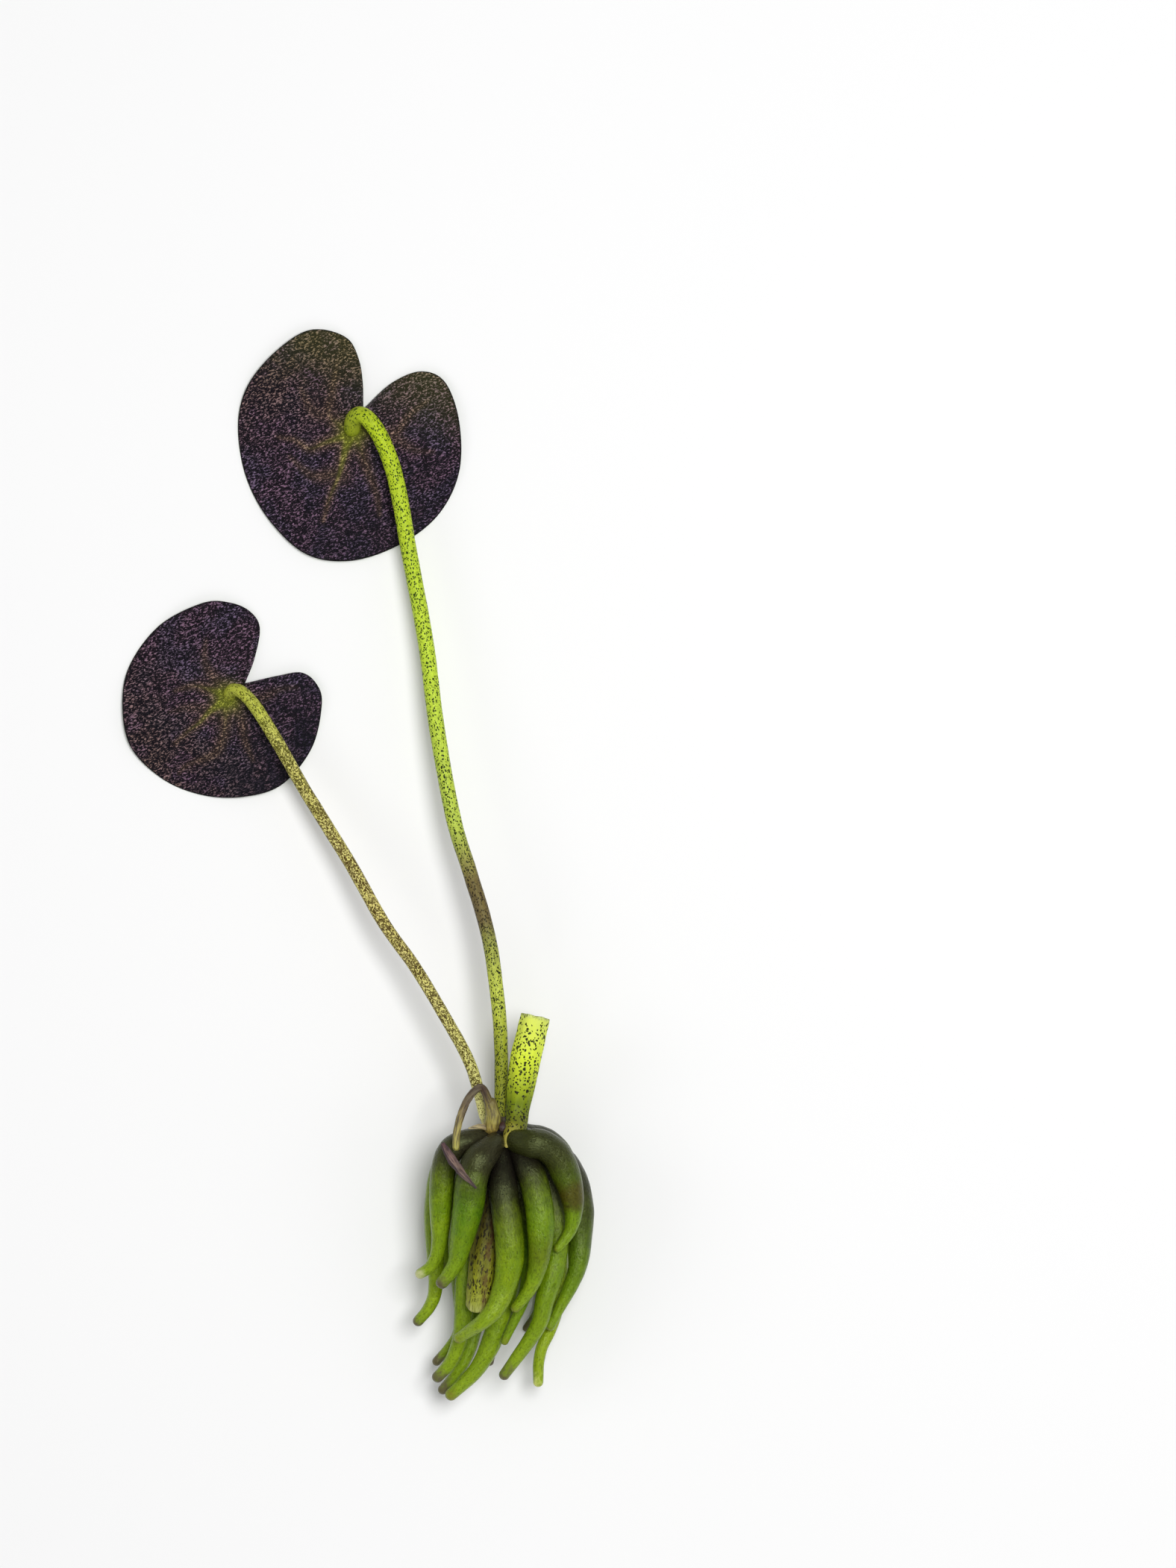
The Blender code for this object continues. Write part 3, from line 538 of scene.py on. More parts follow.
# Near-black: dark stained skin deepened with painted shade of the recess between the necks
SHADED_BLACK_TOP = rgb(26, 22, 19)
BROWN_TOP = rgb(48, 45, 31)
OLIVE_TOP = rgb(44, 46, 18)
GREY_TIP = rgb(90, 82, 58)
PALE_TIP = rgb(190, 192, 140)
YELLOW_TIP = rgb(214, 217, 126)
OLIVE_TIP = rgb(118, 112, 40)

# Colour by the crown, where the near-black one is partly painted shade of the recess there, share of the
# length that is brown and shaded, ripeness, where the tip's colour starts, the tip's colour and, where there
# is a brown blotch, its strength and place
TUBER_KEYS = ("Top Colour", "Brown And Shade Until", "Ripeness", "Tip From", "Tip Colour", "Blotch", "Blotch At")
TUBER_LOOKS = {
    "tuber_01": (BROWN_TOP, 0.48, 0.5, 0.94, PALE_TIP),
    "tuber_02": (BROWN_TOP, 0.44, 0.2, 0.92, GREY_TIP),
    "tuber_03": (BROWN_TOP, 0.3, 0.6, 0.92, GREY_TIP),
    "tuber_04": (SHADED_BLACK_TOP, 0.35, 0.5, 0.91, GREY_TIP),
    "tuber_05": (SHADED_BLACK_TOP, 0.43, 0.6, 0.95, OLIVE_TIP),
    "tuber_06": (SHADED_BLACK_TOP, 0.4, 0.45, 0.9, GREY_TIP),
    "tuber_07": (SHADED_BLACK_TOP, 0.38, 0.4, 0.95, OLIVE_TIP, 0.35, 0.64),
    "tuber_08": (OLIVE_TOP, 0.64, 0.2, 0.96, OLIVE_TIP, 0.85, 0.62),
    "tuber_09": (SHADED_BLACK_TOP, 0.4, 0.45, 0.92, GREY_TIP),
    "tuber_10": (SHADED_BLACK_TOP, 0.7, 0.05, 0.95, OLIVE_TIP),
    "tuber_11": (SHADED_BLACK_TOP, 0.3, 0.95, 0.94, YELLOW_TIP),
    "tuber_12": (SHADED_BLACK_TOP, 0.4, 0.5, 0.93, OLIVE_TIP),
    "tuber_13": (SHADED_BLACK_TOP, 0.4, 0.35, 0.9, GREY_TIP),
    "tuber_14": (SHADED_BLACK_TOP, 0.4, 0.1, 0.95, OLIVE_TIP),
}
HIDDEN_LOOK = (SHADED_BLACK_TOP, 0.4, 0.2, 0.9, GREY_TIP)
WET_GLOSS = {"Specular IOR Level": 0.42, "Specular Tint": (0.85, 1.0, 0.45, 1.0)}


def make_tuber_material(name, pattern):
    values = dict(zip(TUBER_KEYS, TUBER_LOOKS.get(name, HIDDEN_LOOK)))

    return new_material(
        name + "_skin", lambda tree: use(tree, pattern, values), bump=0.18, strength=0.8, **WET_GLOSS)


# Finishes of the stems


def make_speckle_group():
    """Small dark marks, a little longer along the stem. Crowding sets their number and size."""
    group, given, end = new_group("stem_speckle", "ShaderNodeTree", {
        "Ground": "Color", "Mark Colour": "Color", "Crowding": 0.5, "Marks Across": 2.4, "Marks Along": 1.4,
        "Joined": 0.0}, {"Colour": "Color", "Height": "Float"})
    skin = attribute(group, "skin", "Vector")
    noise = add(group, "ShaderNodeTexNoise", {"Vector": skin, "Scale": 1.6, "Detail": 2.0})
    bend = vectors(group, "SUBTRACT", {0: noise[1], 1: (0.5, 0.5, 0.5)})
    bent = vectors(group, "MULTIPLY_ADD", {0: bend, 1: (0.6, 0.6, 0.6), 2: skin})
    marks_to_mm = combine(group, given["Marks Across"], given["Marks Across"], given["Marks Along"])
    scaled = vectors(group, "MULTIPLY", {0: bent, 1: marks_to_mm})
    cells = add(group, "ShaderNodeTexVoronoi", {"Vector": scaled, "Scale": 1.0})
    chance = add(group, "ShaderNodeSeparateColor", {0: cells["Color"]})
    patchy = swayed(group, clouds(group, skin, 0.6), 1.2, given["Crowding"])
    present = rise(group, maths(group, "SUBTRACT", patchy, chance[0]), -0.05, 0.05)
    spread = rise(group, patchy, 0.0, 1.3, 0.32, 0.5)
    size = times(group, rise(group, chance[1], 0.0, 1.0, 0.65, 1.15), spread)
    inner = times(group, size, 0.75)
    dots = times(group, rise(group, cells["Distance"], inner, size, 1.0, 0.0), present)
    winding = maths(group, "MULTIPLY_ADD", patchy, 0.13, clouds(group, scaled, 1.3, 1.0, 0.5, 0.8))
    worms = times(group, rise(group, winding, 0.59, 0.625), given["Joined"])
    marks = maths(group, "MAXIMUM", dots, worms)
    soft = clouds(group, stretched(group, skin, (1.6, 1.6, 0.35)), 1.0, 3.0)
    paler = rise(group, soft, 0.35, 0.7, 0.0, 0.35)
    ground = blend(group, paler, given["Ground"], rgb(226, 228, 150), "SOFT_LIGHT")
    fill(group, end, {
        "Colour": blend(group, marks, ground, given["Mark Colour"]),
        "Height": maths(group, "MULTIPLY_ADD", marks, 0.3, soft)})
    return group


# Ground colours along each stem from the crown on, how its marks crowd, their colours, how many
# there are to a millimetre across and along it, and how far they join
STEM_LOOKS = {
    "petiole_left": (
        ((0.0, 230, 226, 156), (0.05, 226, 222, 146), (0.12, 214, 210, 126), (0.3, 216, 206, 128),
         (0.45, 220, 206, 126), (0.55, 222, 212, 132), (0.78, 216, 208, 120), (0.9, 184, 188, 82),
         (1.0, 156, 162, 56)),
        ((0.0, 0.1), (0.05, 0.2), (0.1, 0.8), (0.5, 1.0), (0.8, 0.9), (0.92, 0.5), (1.0, 0.1)),
        ((0.0, 78, 66, 20), (0.3, 70, 52, 18), (0.6, 76, 54, 20), (0.9, 80, 80, 20)), 3.3, 2.3, 0.9),
    "petiole_tall": (
        ((0.0, 130, 134, 40), (0.1, 148, 156, 48), (0.18, 200, 212, 86), (0.24, 150, 154, 78),
         (0.27, 114, 100, 68), (0.325, 116, 102, 64), (0.35, 152, 148, 82), (0.4, 186, 206, 84),
         (0.6, 196, 224, 68), (0.93, 182, 206, 40), (0.975, 150, 162, 44), (1.0, 116, 128, 26)),
        ((0.0, 1.6), (0.1, 1.5), (0.16, 1.1), (0.24, 1.3), (0.3, 1.6), (0.38, 1.2), (0.5, 1.1), (0.9, 1.1),
         (0.97, 0.7), (1.0, 0.0)),
        ((0.0, 34, 42, 16), (0.24, 36, 40, 18), (0.28, 44, 32, 24), (0.33, 44, 34, 24), (0.37, 38, 48, 16),
         (0.9, 50, 72, 12)), 3.3, 2.3, 0.2),
    "cut_stub_upper": (
        ((0.0, 168, 156, 82), (0.08, 150, 142, 60), (0.2, 104, 110, 32), (0.36, 104, 120, 16),
         (0.7, 210, 228, 62), (1.0, 212, 224, 100)),
        ((0.0, 0.2), (0.1, 0.8), (0.2, 1.2), (0.3, 0.9), (0.38, 0.4), (0.48, 1.0), (1.0, 0.9)),
        ((0.0, 40, 34, 18), (1.0, 34, 44, 18)), 2.1, 1.8, 0.0),
    # The lower stub's ground and marks go near-black towards the crown: painted shade where it runs in
    # between the tubers
    "cut_stub_lower": (
        ((0.0, 36, 32, 18), (0.35, 70, 64, 22), (0.6, 112, 110, 28), (0.85, 138, 142, 36),
         (1.0, 150, 156, 60)),
        ((0.0, 1.3), (0.6, 1.1), (0.9, 1.0), (1.0, 0.4)), ((0.0, 24, 16, 10), (1.0, 40, 28, 12)),
        2.8, 0.9, 0.3),
}
STUB_CUTS = {
    "cut_stub_upper": {"Streak": 0.0, "Flesh": rgb(210, 222, 140)},
    "cut_stub_lower": {"Streak": 0.75, "Flesh": rgb(196, 200, 118)},
}
STEM_GLOSS = {"Specular IOR Level": 0.18, "Specular Tint": (0.9, 1.0, 0.6, 1.0)}


def grey(value):
    return (value, value, value, 1.0)


def make_cut_group():
    """A rotten streak down one side of a stub, and the spongy flesh of its cut."""
    group, given, end = new_group("cut_stub_surface", "ShaderNodeTree", {
        "Skin Colour": "Color", "Streak": 0.0, "Flesh": "Color"}, {"Colour": "Color"})
    skin = attribute(group, "skin", "Vector")
    side = add(group, "ShaderNodeSeparateXYZ", {0: skin})[0]
    rough = clouds(group, stretched(group, skin, (1.6, 1.6, 0.6)), 1.0, 3.0, 0.7)
    wandering = maths(group, "MULTIPLY_ADD", rough, 2.4, maths(group, "ADD", side, -0.8))
    offset = maths(group, "ABSOLUTE", wandering)
    blotches = rise(group, clouds(group, skin, 0.42), 0.4, 0.6)
    streak = times(group, rise(group, offset, 0.2, 0.8, 1.0, 0.0), given["Streak"])
    stained = blend(group, times(group, streak, blotches), given["Skin Colour"], rgb(70, 26, 6))
    pores = rise(group, clouds(group, skin, 2.6, 3.0, 0.7), 0.35, 0.65)
    flesh = blend(group, pores, rgb(116, 120, 46), given["Flesh"])
    fill(group, end, {"Colour": blend(group, attribute(group, "cut"), stained, flesh)})
    return group


def make_stem_material(name, speckle, surface=None):
    """Speckled skin. A stub also has the surface group that draws its streak and its cut."""
    grounds, crowding, marks, across, lengthwise, joined = STEM_LOOKS[name]
    most = max(value for _, value in crowding)

    def look(tree):
        along = attribute(tree, "along")
        crowd = shades_along(tree, along, [(place, grey(value / most)) for place, value in crowding])
        skin = use(tree, speckle, {
            "Ground": colours_along(tree, along, grounds), "Mark Colour": colours_along(tree, along, marks),
            "Crowding": times(tree, crowd, most), "Marks Across": across,
            "Marks Along": lengthwise, "Joined": joined})
        if surface is None:
            return skin
        cut = use(tree, surface, {"Skin Colour": skin["Colour"], **STUB_CUTS[name]})
        return {"Colour": cut["Colour"], "Height": skin["Height"]}

    return new_material(name + "_skin", look, 0.45, 0.12, 0.6, **STEM_GLOSS)


def make_dry_group():
    """Dry skin with lengthwise folds, darker in them, and with painted shade towards the sides of a folded
    blade as seen from above.
    """
    group, given, end = new_group("dry_skin", "ShaderNodeTree", {
        "Ground": "Color", "Fold Colour": "Color", "Edge Shade": 0.0}, {"Colour": "Color", "Height": "Float"})
    skin = attribute(group, "skin", "Vector")
    folds = clouds(group, stretched(group, skin, (3.4, 3.4, 0.45)), 1.0, 4.0, 0.6)
    creased = blend(group, rise(group, folds, 0.36, 0.6, 0.85, 0.0), given["Ground"], given["Fold Colour"])
    across = add(group, "ShaderNodeSeparateXYZ", {0: skin})[0]
    # Painted shade towards the sides of the piece as seen from above
    edge_shade = rise(group, maths(group, "ABSOLUTE", across), 0.3, 0.6, 0.0, given["Edge Shade"])
    fill(group, end, {"Colour": blend(group, edge_shade, creased, given["Fold Colour"]), "Height": folds})
    return group


def make_dry_material(name, dry, grounds, fold, edge_shade):
    def look(tree):
        ground = colours_along(tree, attribute(tree, "along"), grounds)
        return use(tree, dry, {"Ground": ground, "Fold Colour": fold, "Edge Shade": edge_shade})

    return new_material(name, look, bump=0.25, strength=0.8)


# Finishes of the blades


def millimetres(tree):
    """The place on the plant, in millimetres."""
    place = add(tree, "ShaderNodeTexCoord")["Object"]
    return vectors(tree, "SCALE", {0: place, "Scale": 1.0 / MM})


def make_pebble_group():
    """The fine bumps of both sides of a blade."""
    group, given, end = new_group("leaf_pebbles", "ShaderNodeTree", {"Size": 0.28}, {"Height": "Float"})
    scale = maths(group, "DIVIDE", 1.0, given["Size"])
    fill(group, end, {"Height": clouds(group, millimetres(group), scale, 2.0, 0.6)})
    return group


def make_underside_material(pebbles):
    """Purple skin with painted shade in the hollows between paler wrinkles and a painted highlight on their
    crests, greener where the veins meet.
    """

    def patches(tree, place, scale, low, high, start, name):
        """Clouded places of a colour that an attribute spreads over part of the blade."""
        cloud = clouds(tree, place, scale, 3.0, 0.6)
        return times(tree, rise(tree, cloud, low, high, start, 1.0), attribute(tree, name))

    def look(tree):
        place = millimetres(tree)
        wrinkles = clouds(tree, stretched(tree, place, (2.2, 4.0, 1.0), -0.38), 1.0, 2.5, 0.6, 0.6)
        blue = rise(tree, clouds(tree, place, 0.2, 3.0), 0.45, 0.65, 0.0, 0.6)
        brown = patches(tree, place, 0.25, 0.3, 0.6, 0.0, "warm")
        # Painted shade over the part of a blade that tilts away from the light
        tilted_lobe_shade = patches(tree, place, 0.32, 0.35, 0.6, 0.35, "tilted_lobe_shade")
        vein = attribute(tree, "vein")
        green = attribute(tree, "green")
        # Painted shade in the hollows of the wrinkles, near-black
        shaded_hollows = blend(tree, blue, rgb(14, 6, 16), rgb(8, 7, 18))
        shaded_hollows = blend(tree, tilted_lobe_shade, shaded_hollows, rgb(9, 8, 18))
        shaded_hollows = blend(tree, vein, shaded_hollows, rgb(54, 40, 34))
        shaded_hollows = blend(tree, green, shaded_hollows, rgb(92, 96, 26))
        # The paler crests of the wrinkles, partly a painted highlight
        lit_crests = blend(tree, blue, rgb(138, 106, 130), rgb(110, 102, 134))
        lit_crests = blend(tree, brown, lit_crests, rgb(148, 122, 104))
        lit_crests = blend(tree, times(tree, tilted_lobe_shade, 0.8), lit_crests, rgb(34, 32, 54))
        lit_crests = blend(tree, vein, lit_crests, rgb(170, 140, 104))
        lit_crests = blend(tree, green, lit_crests, rgb(178, 182, 74))
        skin = blend(tree, rise(tree, wrinkles, 0.5, 0.67), shaded_hollows, lit_crests)
        bumps = use(tree, pebbles)["Height"]
        return {
            "Colour": blend(tree, attribute(tree, "rim"), skin, rgb(20, 18, 19)),
            "Height": maths(tree, "MULTIPLY_ADD", bumps, 0.5, wrinkles)}

    return new_material("leaf_underside", look, 0.42, 0.3, 0.9, **{"Specular IOR Level": 0.12})


def make_upper_side_material(pebbles):
    """The green side, which lies on the table."""

    def look(tree):
        green = blend(tree, clouds(tree, millimetres(tree), 0.5, 3.0), rgb(70, 104, 26), rgb(120, 150, 44))
        vein = times(tree, attribute(tree, "vein"), 0.5)
        return {
            "Colour": blend(tree, vein, green, rgb(168, 184, 92)),
            "Height": use(tree, pebbles)["Height"]}

    return new_material("leaf_upper_side", look, 0.35)


# Pieces that follow a route

SEED_SHIFT = 50.0  # the millimetres by which each seed moves a piece's marks along it


def make_stem_tree():
    """Nodes that turn a route into a closed stem, lumpy or ridged, resting on the table."""
    tree, given, end = new_group("stem_along_route", "GeometryNodeTree", {
        "Route": "Geometry", "Sides": 32, "Flatness": 1.0, "Lump Height": 0.03, "Lump Size": 4.0,
        "Ridges": 0, "Ridge Height": 0.0, "Cut Slant": (0.0, 0.0, 0.0), "Seed": 1, "Skin": "Material"},
        {"Stem": "Geometry"})

    def step(kind, inputs=(), **settings):
        return add(tree, "GeometryNode" + kind, inputs, **settings)[0]

    def named(name):
        return step("InputNamedAttribute", {"Name": name})

    around = named("around")
    reach = named("reach")
    curve = step("MeshToCurve", {"Mesh": given["Route"]})
    upright = step("SetCurveNormal", {"Curve": curve}, mode="Z_UP")
    circle = step("CurvePrimitiveCircle", {"Resolution": given["Sides"], "Radius": 1.0})
    turn = times(tree, step("SplineParameter"), 2.0 * math.pi)
    marked = step(
        "StoreNamedAttribute", {"Geometry": circle, "Name": "around", "Value": turn}, data_type="FLOAT")
    profile = step("Transform", {"Geometry": marked, "Scale": combine(tree, 1.0, given["Flatness"], 1.0)})
    stem = step("CurveToMesh", {
        "Curve": upright, "Profile Curve": profile, "Scale": reach, "Fill Caps": True})
    lumps = add(tree, "ShaderNodeTexNoise", {
        "Vector": step("InputPosition"), "W": given["Seed"], "Detail": 1.0,
        "Scale": maths(tree, "DIVIDE", 1.0 / MM, given["Lump Size"])}, noise_dimensions="4D")[0]
    lump = times(tree, maths(tree, "SUBTRACT", lumps, 0.5), given["Lump Height"])
    ridge = maths(tree, "COSINE", times(tree, around, given["Ridges"]))
    relief = times(tree, maths(tree, "MULTIPLY_ADD", ridge, given["Ridge Height"], lump), reach)
    outwards = vectors(tree, "SCALE", {0: step("InputNormal"), "Scale": relief})
    over_axis = times(tree, maths(tree, "SINE", around), reach)
    slant = vectors(tree, "SCALE", {0: given["Cut Slant"], "Scale": times(tree, over_axis, named("cut"))})
    moved = step("SetPosition", {"Geometry": stem, "Offset": vectors(tree, "ADD", {0: outwards, 1: slant})})
    on_table = vectors(tree, "MAXIMUM", {0: step("InputPosition"), 1: (-1.0, -1.0, 0.0)})
    rested = step("SetPosition", {"Geometry": moved, "Position": on_table})
    radius = times(tree, reach, 1.0 / MM)
    sideways = times(tree, maths(tree, "COSINE", around), radius)
    upwards = times(tree, maths(tree, "SINE", around), radius)
    onwards = maths(tree, "ADD", named("run"), times(tree, given["Seed"], SEED_SHIFT))
    skin = combine(tree, sideways, upwards, onwards)
    skinned = step(
        "StoreNamedAttribute", {"Geometry": rested, "Name": "skin", "Value": skin}, data_type="FLOAT_VECTOR")
    smooth = step("SetShadeSmooth", {"Geometry": skinned})
    real = step("RealizeInstances", {"Geometry": smooth})
    fill(tree, end, {"Stem": step("SetMaterial", {"Geometry": real, "Material": given["Skin"]})})
    return tree


DOME_RINGS = 7
CUT_RINGS = ((0.94, 0.03), (0.8, 0.05), (0.55, 0.06), (0.3, 0.07), (0.04, 0.08))
CUT_EDGE = 0.5  # the flesh begins to show so far before the cut


def route_stations(length, radii, rings, cut_end, spread):
    """Places along a route in millimetres, how far each is drawn in, and whether it is on a cut."""
    angles = np.linspace(0.08, 1.0, DOME_RINGS, endpoint=False) * math.pi / 2.0
    inset = 1.0 - np.cos(angles)
    last = length if cut_end else length - radii[1]
    body = radii[0] + (last - radii[0]) * spread(np.linspace(0.0, 1.0, rings))
    if cut_end:
        end_drawn, steps = np.array(CUT_RINGS).T
        end = length + steps
    else:
        end = length - radii[1] * inset[::-1]
        end_drawn = np.sin(angles)[::-1]
    places = np.concatenate([radii[0] * inset, body, end])
    drawn = np.concatenate([np.sin(angles), np.ones(rings), end_drawn])
    cut = np.concatenate([np.zeros(DOME_RINGS), ramp(body, length - CUT_EDGE, length), np.ones(len(end))])
    return places, drawn, cut * cut_end


def even(places):
    return places


def hooked(places):
    """Places that are closer together in a leaf stem's hook."""
    return np.interp(places, (0.0, 0.65, 1.0), (0.0, 0.91, 1.0))


def in_scene(name, data):
    """A new object in the scene."""
    made = bpy.data.objects.new(name, data)
    bpy.context.scene.collection.objects.link(made)
    return made


def store(mesh, values_by_name):
    """Keeps a value for each point of the mesh under each name."""
    for name, values in values_by_name.items():
        mesh.attributes.new(name, "FLOAT", "POINT").data.foreach_set("value", values)


# The order in which a piece gives the inputs of the stem's nodes
STEM_INPUTS = ("Sides", "Flatness", "Lump Height", "Lump Size", "Seed", "Ridges", "Ridge Height", "Cut Slant")


def make_stem(name, line, radius_at, rings, tree, heart, material, inputs, cut_end=False, spread=even):
    """A piece along a line, with what its finish needs stored on it."""
    length = line_length(line)
    places, drawn, cut = route_stations(length, radius_at(np.array([0.0, 1.0])), rings, cut_end, spread)
    shares = places / length
    inside = np.clip(shares, 0.0, 1.0)
    beyond = line[-1] - line[-2]
    beyond /= np.linalg.norm(beyond)
    points = at_lengths(line, inside) + np.outer(np.clip(places - length, 0.0, None), beyond)
    mesh = bpy.data.meshes.new(name)
    edges = [(index, index + 1) for index in range(len(points) - 1)]
    mesh.from_pydata((points * MM + heart).tolist(), edges, [])
    store(mesh, {"reach": radius_at(inside) * drawn * MM, "run": places, "along": shares, "cut": cut})
    route = in_scene(name + "_route", mesh)
    modifier = route.modifiers.new("stem", "NODES")
    modifier.node_group = tree
    sockets = {item.name: item.identifier for item in tree.interface.items_tree if item.in_out == "INPUT"}
    for key, value in (*zip(STEM_INPUTS, inputs), ("Skin", material)):
        modifier[sockets[key]] = value
    evaluated = route.evaluated_get(bpy.context.evaluated_depsgraph_get())
    form = bpy.data.meshes.new_from_object(evaluated)
    bpy.data.objects.remove(route)
    return in_scene(name + "_form", form)


def finish_piece(piece, slot, *nodes):
    """Rides on the plant and stands for its solids. The slot is not used."""
    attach(piece, "root")
    if nodes:
        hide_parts(*nodes)


# The necks are fuller than in the solids, and three lie lower; the tips are drawn out
NECK_FULLNESS = {"tuber_01": 0.7, "tuber_02": 0.62, "tuber_08": 0.68}
NECK_ELSEWHERE = 0.55
NECK_SUNK = 1.4
NECK_DROPS = {"tuber_01": 1.5, "tuber_02": 1.4, "tuber_08": 0.8}
TIP_DRAWN_FROM = 0.88
TIP_DRAWN = 0.08
SKIN_INSIDE = 0.97  # leaves room for the lumps inside the solid's reach
TUBER_PLACES = 120
TUBER_RINGS = 104


def drawn_out_radius(share, greatest, tip, neck):
    drawn = 1.0 - TIP_DRAWN * ramp(share, TIP_DRAWN_FROM, 1.0)
    return tuber_radius(share, greatest, tip, neck) * drawn * SKIN_INSIDE


def make_tubers(tree, heart):
    pattern = make_tuber_group()
    lines = eased_tubers(standing_pieces())
    beside_crown = 1.0 - ramp(np.linspace(0.0, 1.0, TUBER_PLACES), 0.12, 0.4)
    for seed, (name, greatest, tip, _, _) in enumerate(FRONT_TUBERS + REAR_TUBERS, 1):
        line = lines[name]
        crown = np.array([0.0, line[0, 1], crown_height(line[0, 1])])
        inward = (crown - line[0]) / np.linalg.norm(crown - line[0])
        full = smooth_line(np.vstack([line[0] + inward * NECK_SUNK, line[::2], line[-1:]]), TUBER_PLACES)
        full[:, 1] -= NECK_DROPS.get(name, 0.0) * beside_crown
        neck = NECK_FULLNESS.get(name, NECK_ELSEWHERE)
        piece = make_stem(
            name, full, lambda share, g=greatest, t=tip, n=neck: drawn_out_radius(share, g, t, n),
            TUBER_RINGS, tree, heart, make_tuber_material(name, pattern), (36, 1.0, 0.14, 3.5, seed))
        finish_piece(piece, "tuber_skin", name)


# Stem routes run on into the crown and into the blade
PETIOLE_ROOTS = {"petiole_left": (-1.5, -0.8, 12.0), "petiole_tall": (0.1, -0.8, 11.8)}
PETIOLE_ENDS = {"petiole_left": (-45.8, 70.7, 2.2), "petiole_tall": (-24.9, 114.9, 2.3)}
PETIOLE_PLACES = 300
PETIOLE_RINGS = 260


def make_petioles(tree, speckle, heart):
    for seed, (name, radii, route) in enumerate(PETIOLES, 31):
        line = smooth_line((PETIOLE_ROOTS[name], *route, PETIOLE_ENDS[name]), PETIOLE_PLACES)
        piece = make_stem(
            name, line, stem_radius(radii), PETIOLE_RINGS, tree, heart, make_stem_material(name, speckle),
            (28, 1.0, 0.12, 3.0, seed), spread=hooked)
        finish_piece(piece, "stem_skin", name)


# Route, radii along it and slant of the cut. The upper stub runs down to a wedge over the heart
STUB_FORMS = {
    "cut_stub_upper": (
        ((1.0, -3.7, 16.9), (1.35, -2.0, 16.3), (2.6, 0.0, 14.8), (2.9, 2.8, 14.0), (3.5, 7.0, 13.9),
         (4.2, 11.0, 14.2), (5.8, 17.9, 14.4)),
        ((0.0, 0.3), (0.08, 0.95), (0.17, 1.75), (0.3, 1.8), (0.5, 2.3), (0.7, 2.5), (1.0, 2.35)),
        (-0.03, -0.12, 0.0)),
    "cut_stub_lower": (
        ((-1.2, -10.0, 12.6), (-1.6, -16.0, 13.8), (-2.6, -22.0, 14.8), (-3.4, -29.9, 15.4)),
        ((0.0, 1.6), (0.5, 2.5), (1.0, 2.3)),
        (0.06, 0.55, 0.0)),
}
STUB_PLACES = 100
STUB_RINGS = 130


def make_stubs(tree, speckle, heart):
    surface = make_cut_group()
    for seed, (name, _, flat, _) in enumerate(STUBS, 41):
        route, radii, slant = STUB_FORMS[name]
        piece = make_stem(
            name, smooth_line(route, STUB_PLACES), stepped(radii), STUB_RINGS, tree, heart,
            make_stem_material(name, speckle, surface), (48, flat, 0.12, 2.5, seed, 6, 0.035, slant),
            cut_end=True)
        finish_piece(piece, "stub_skin", name)


WITHERED_LEAF_DROP = 0.06  # its ridges stay under the solid's top
DRY_FOLD = rgb(52, 34, 26)

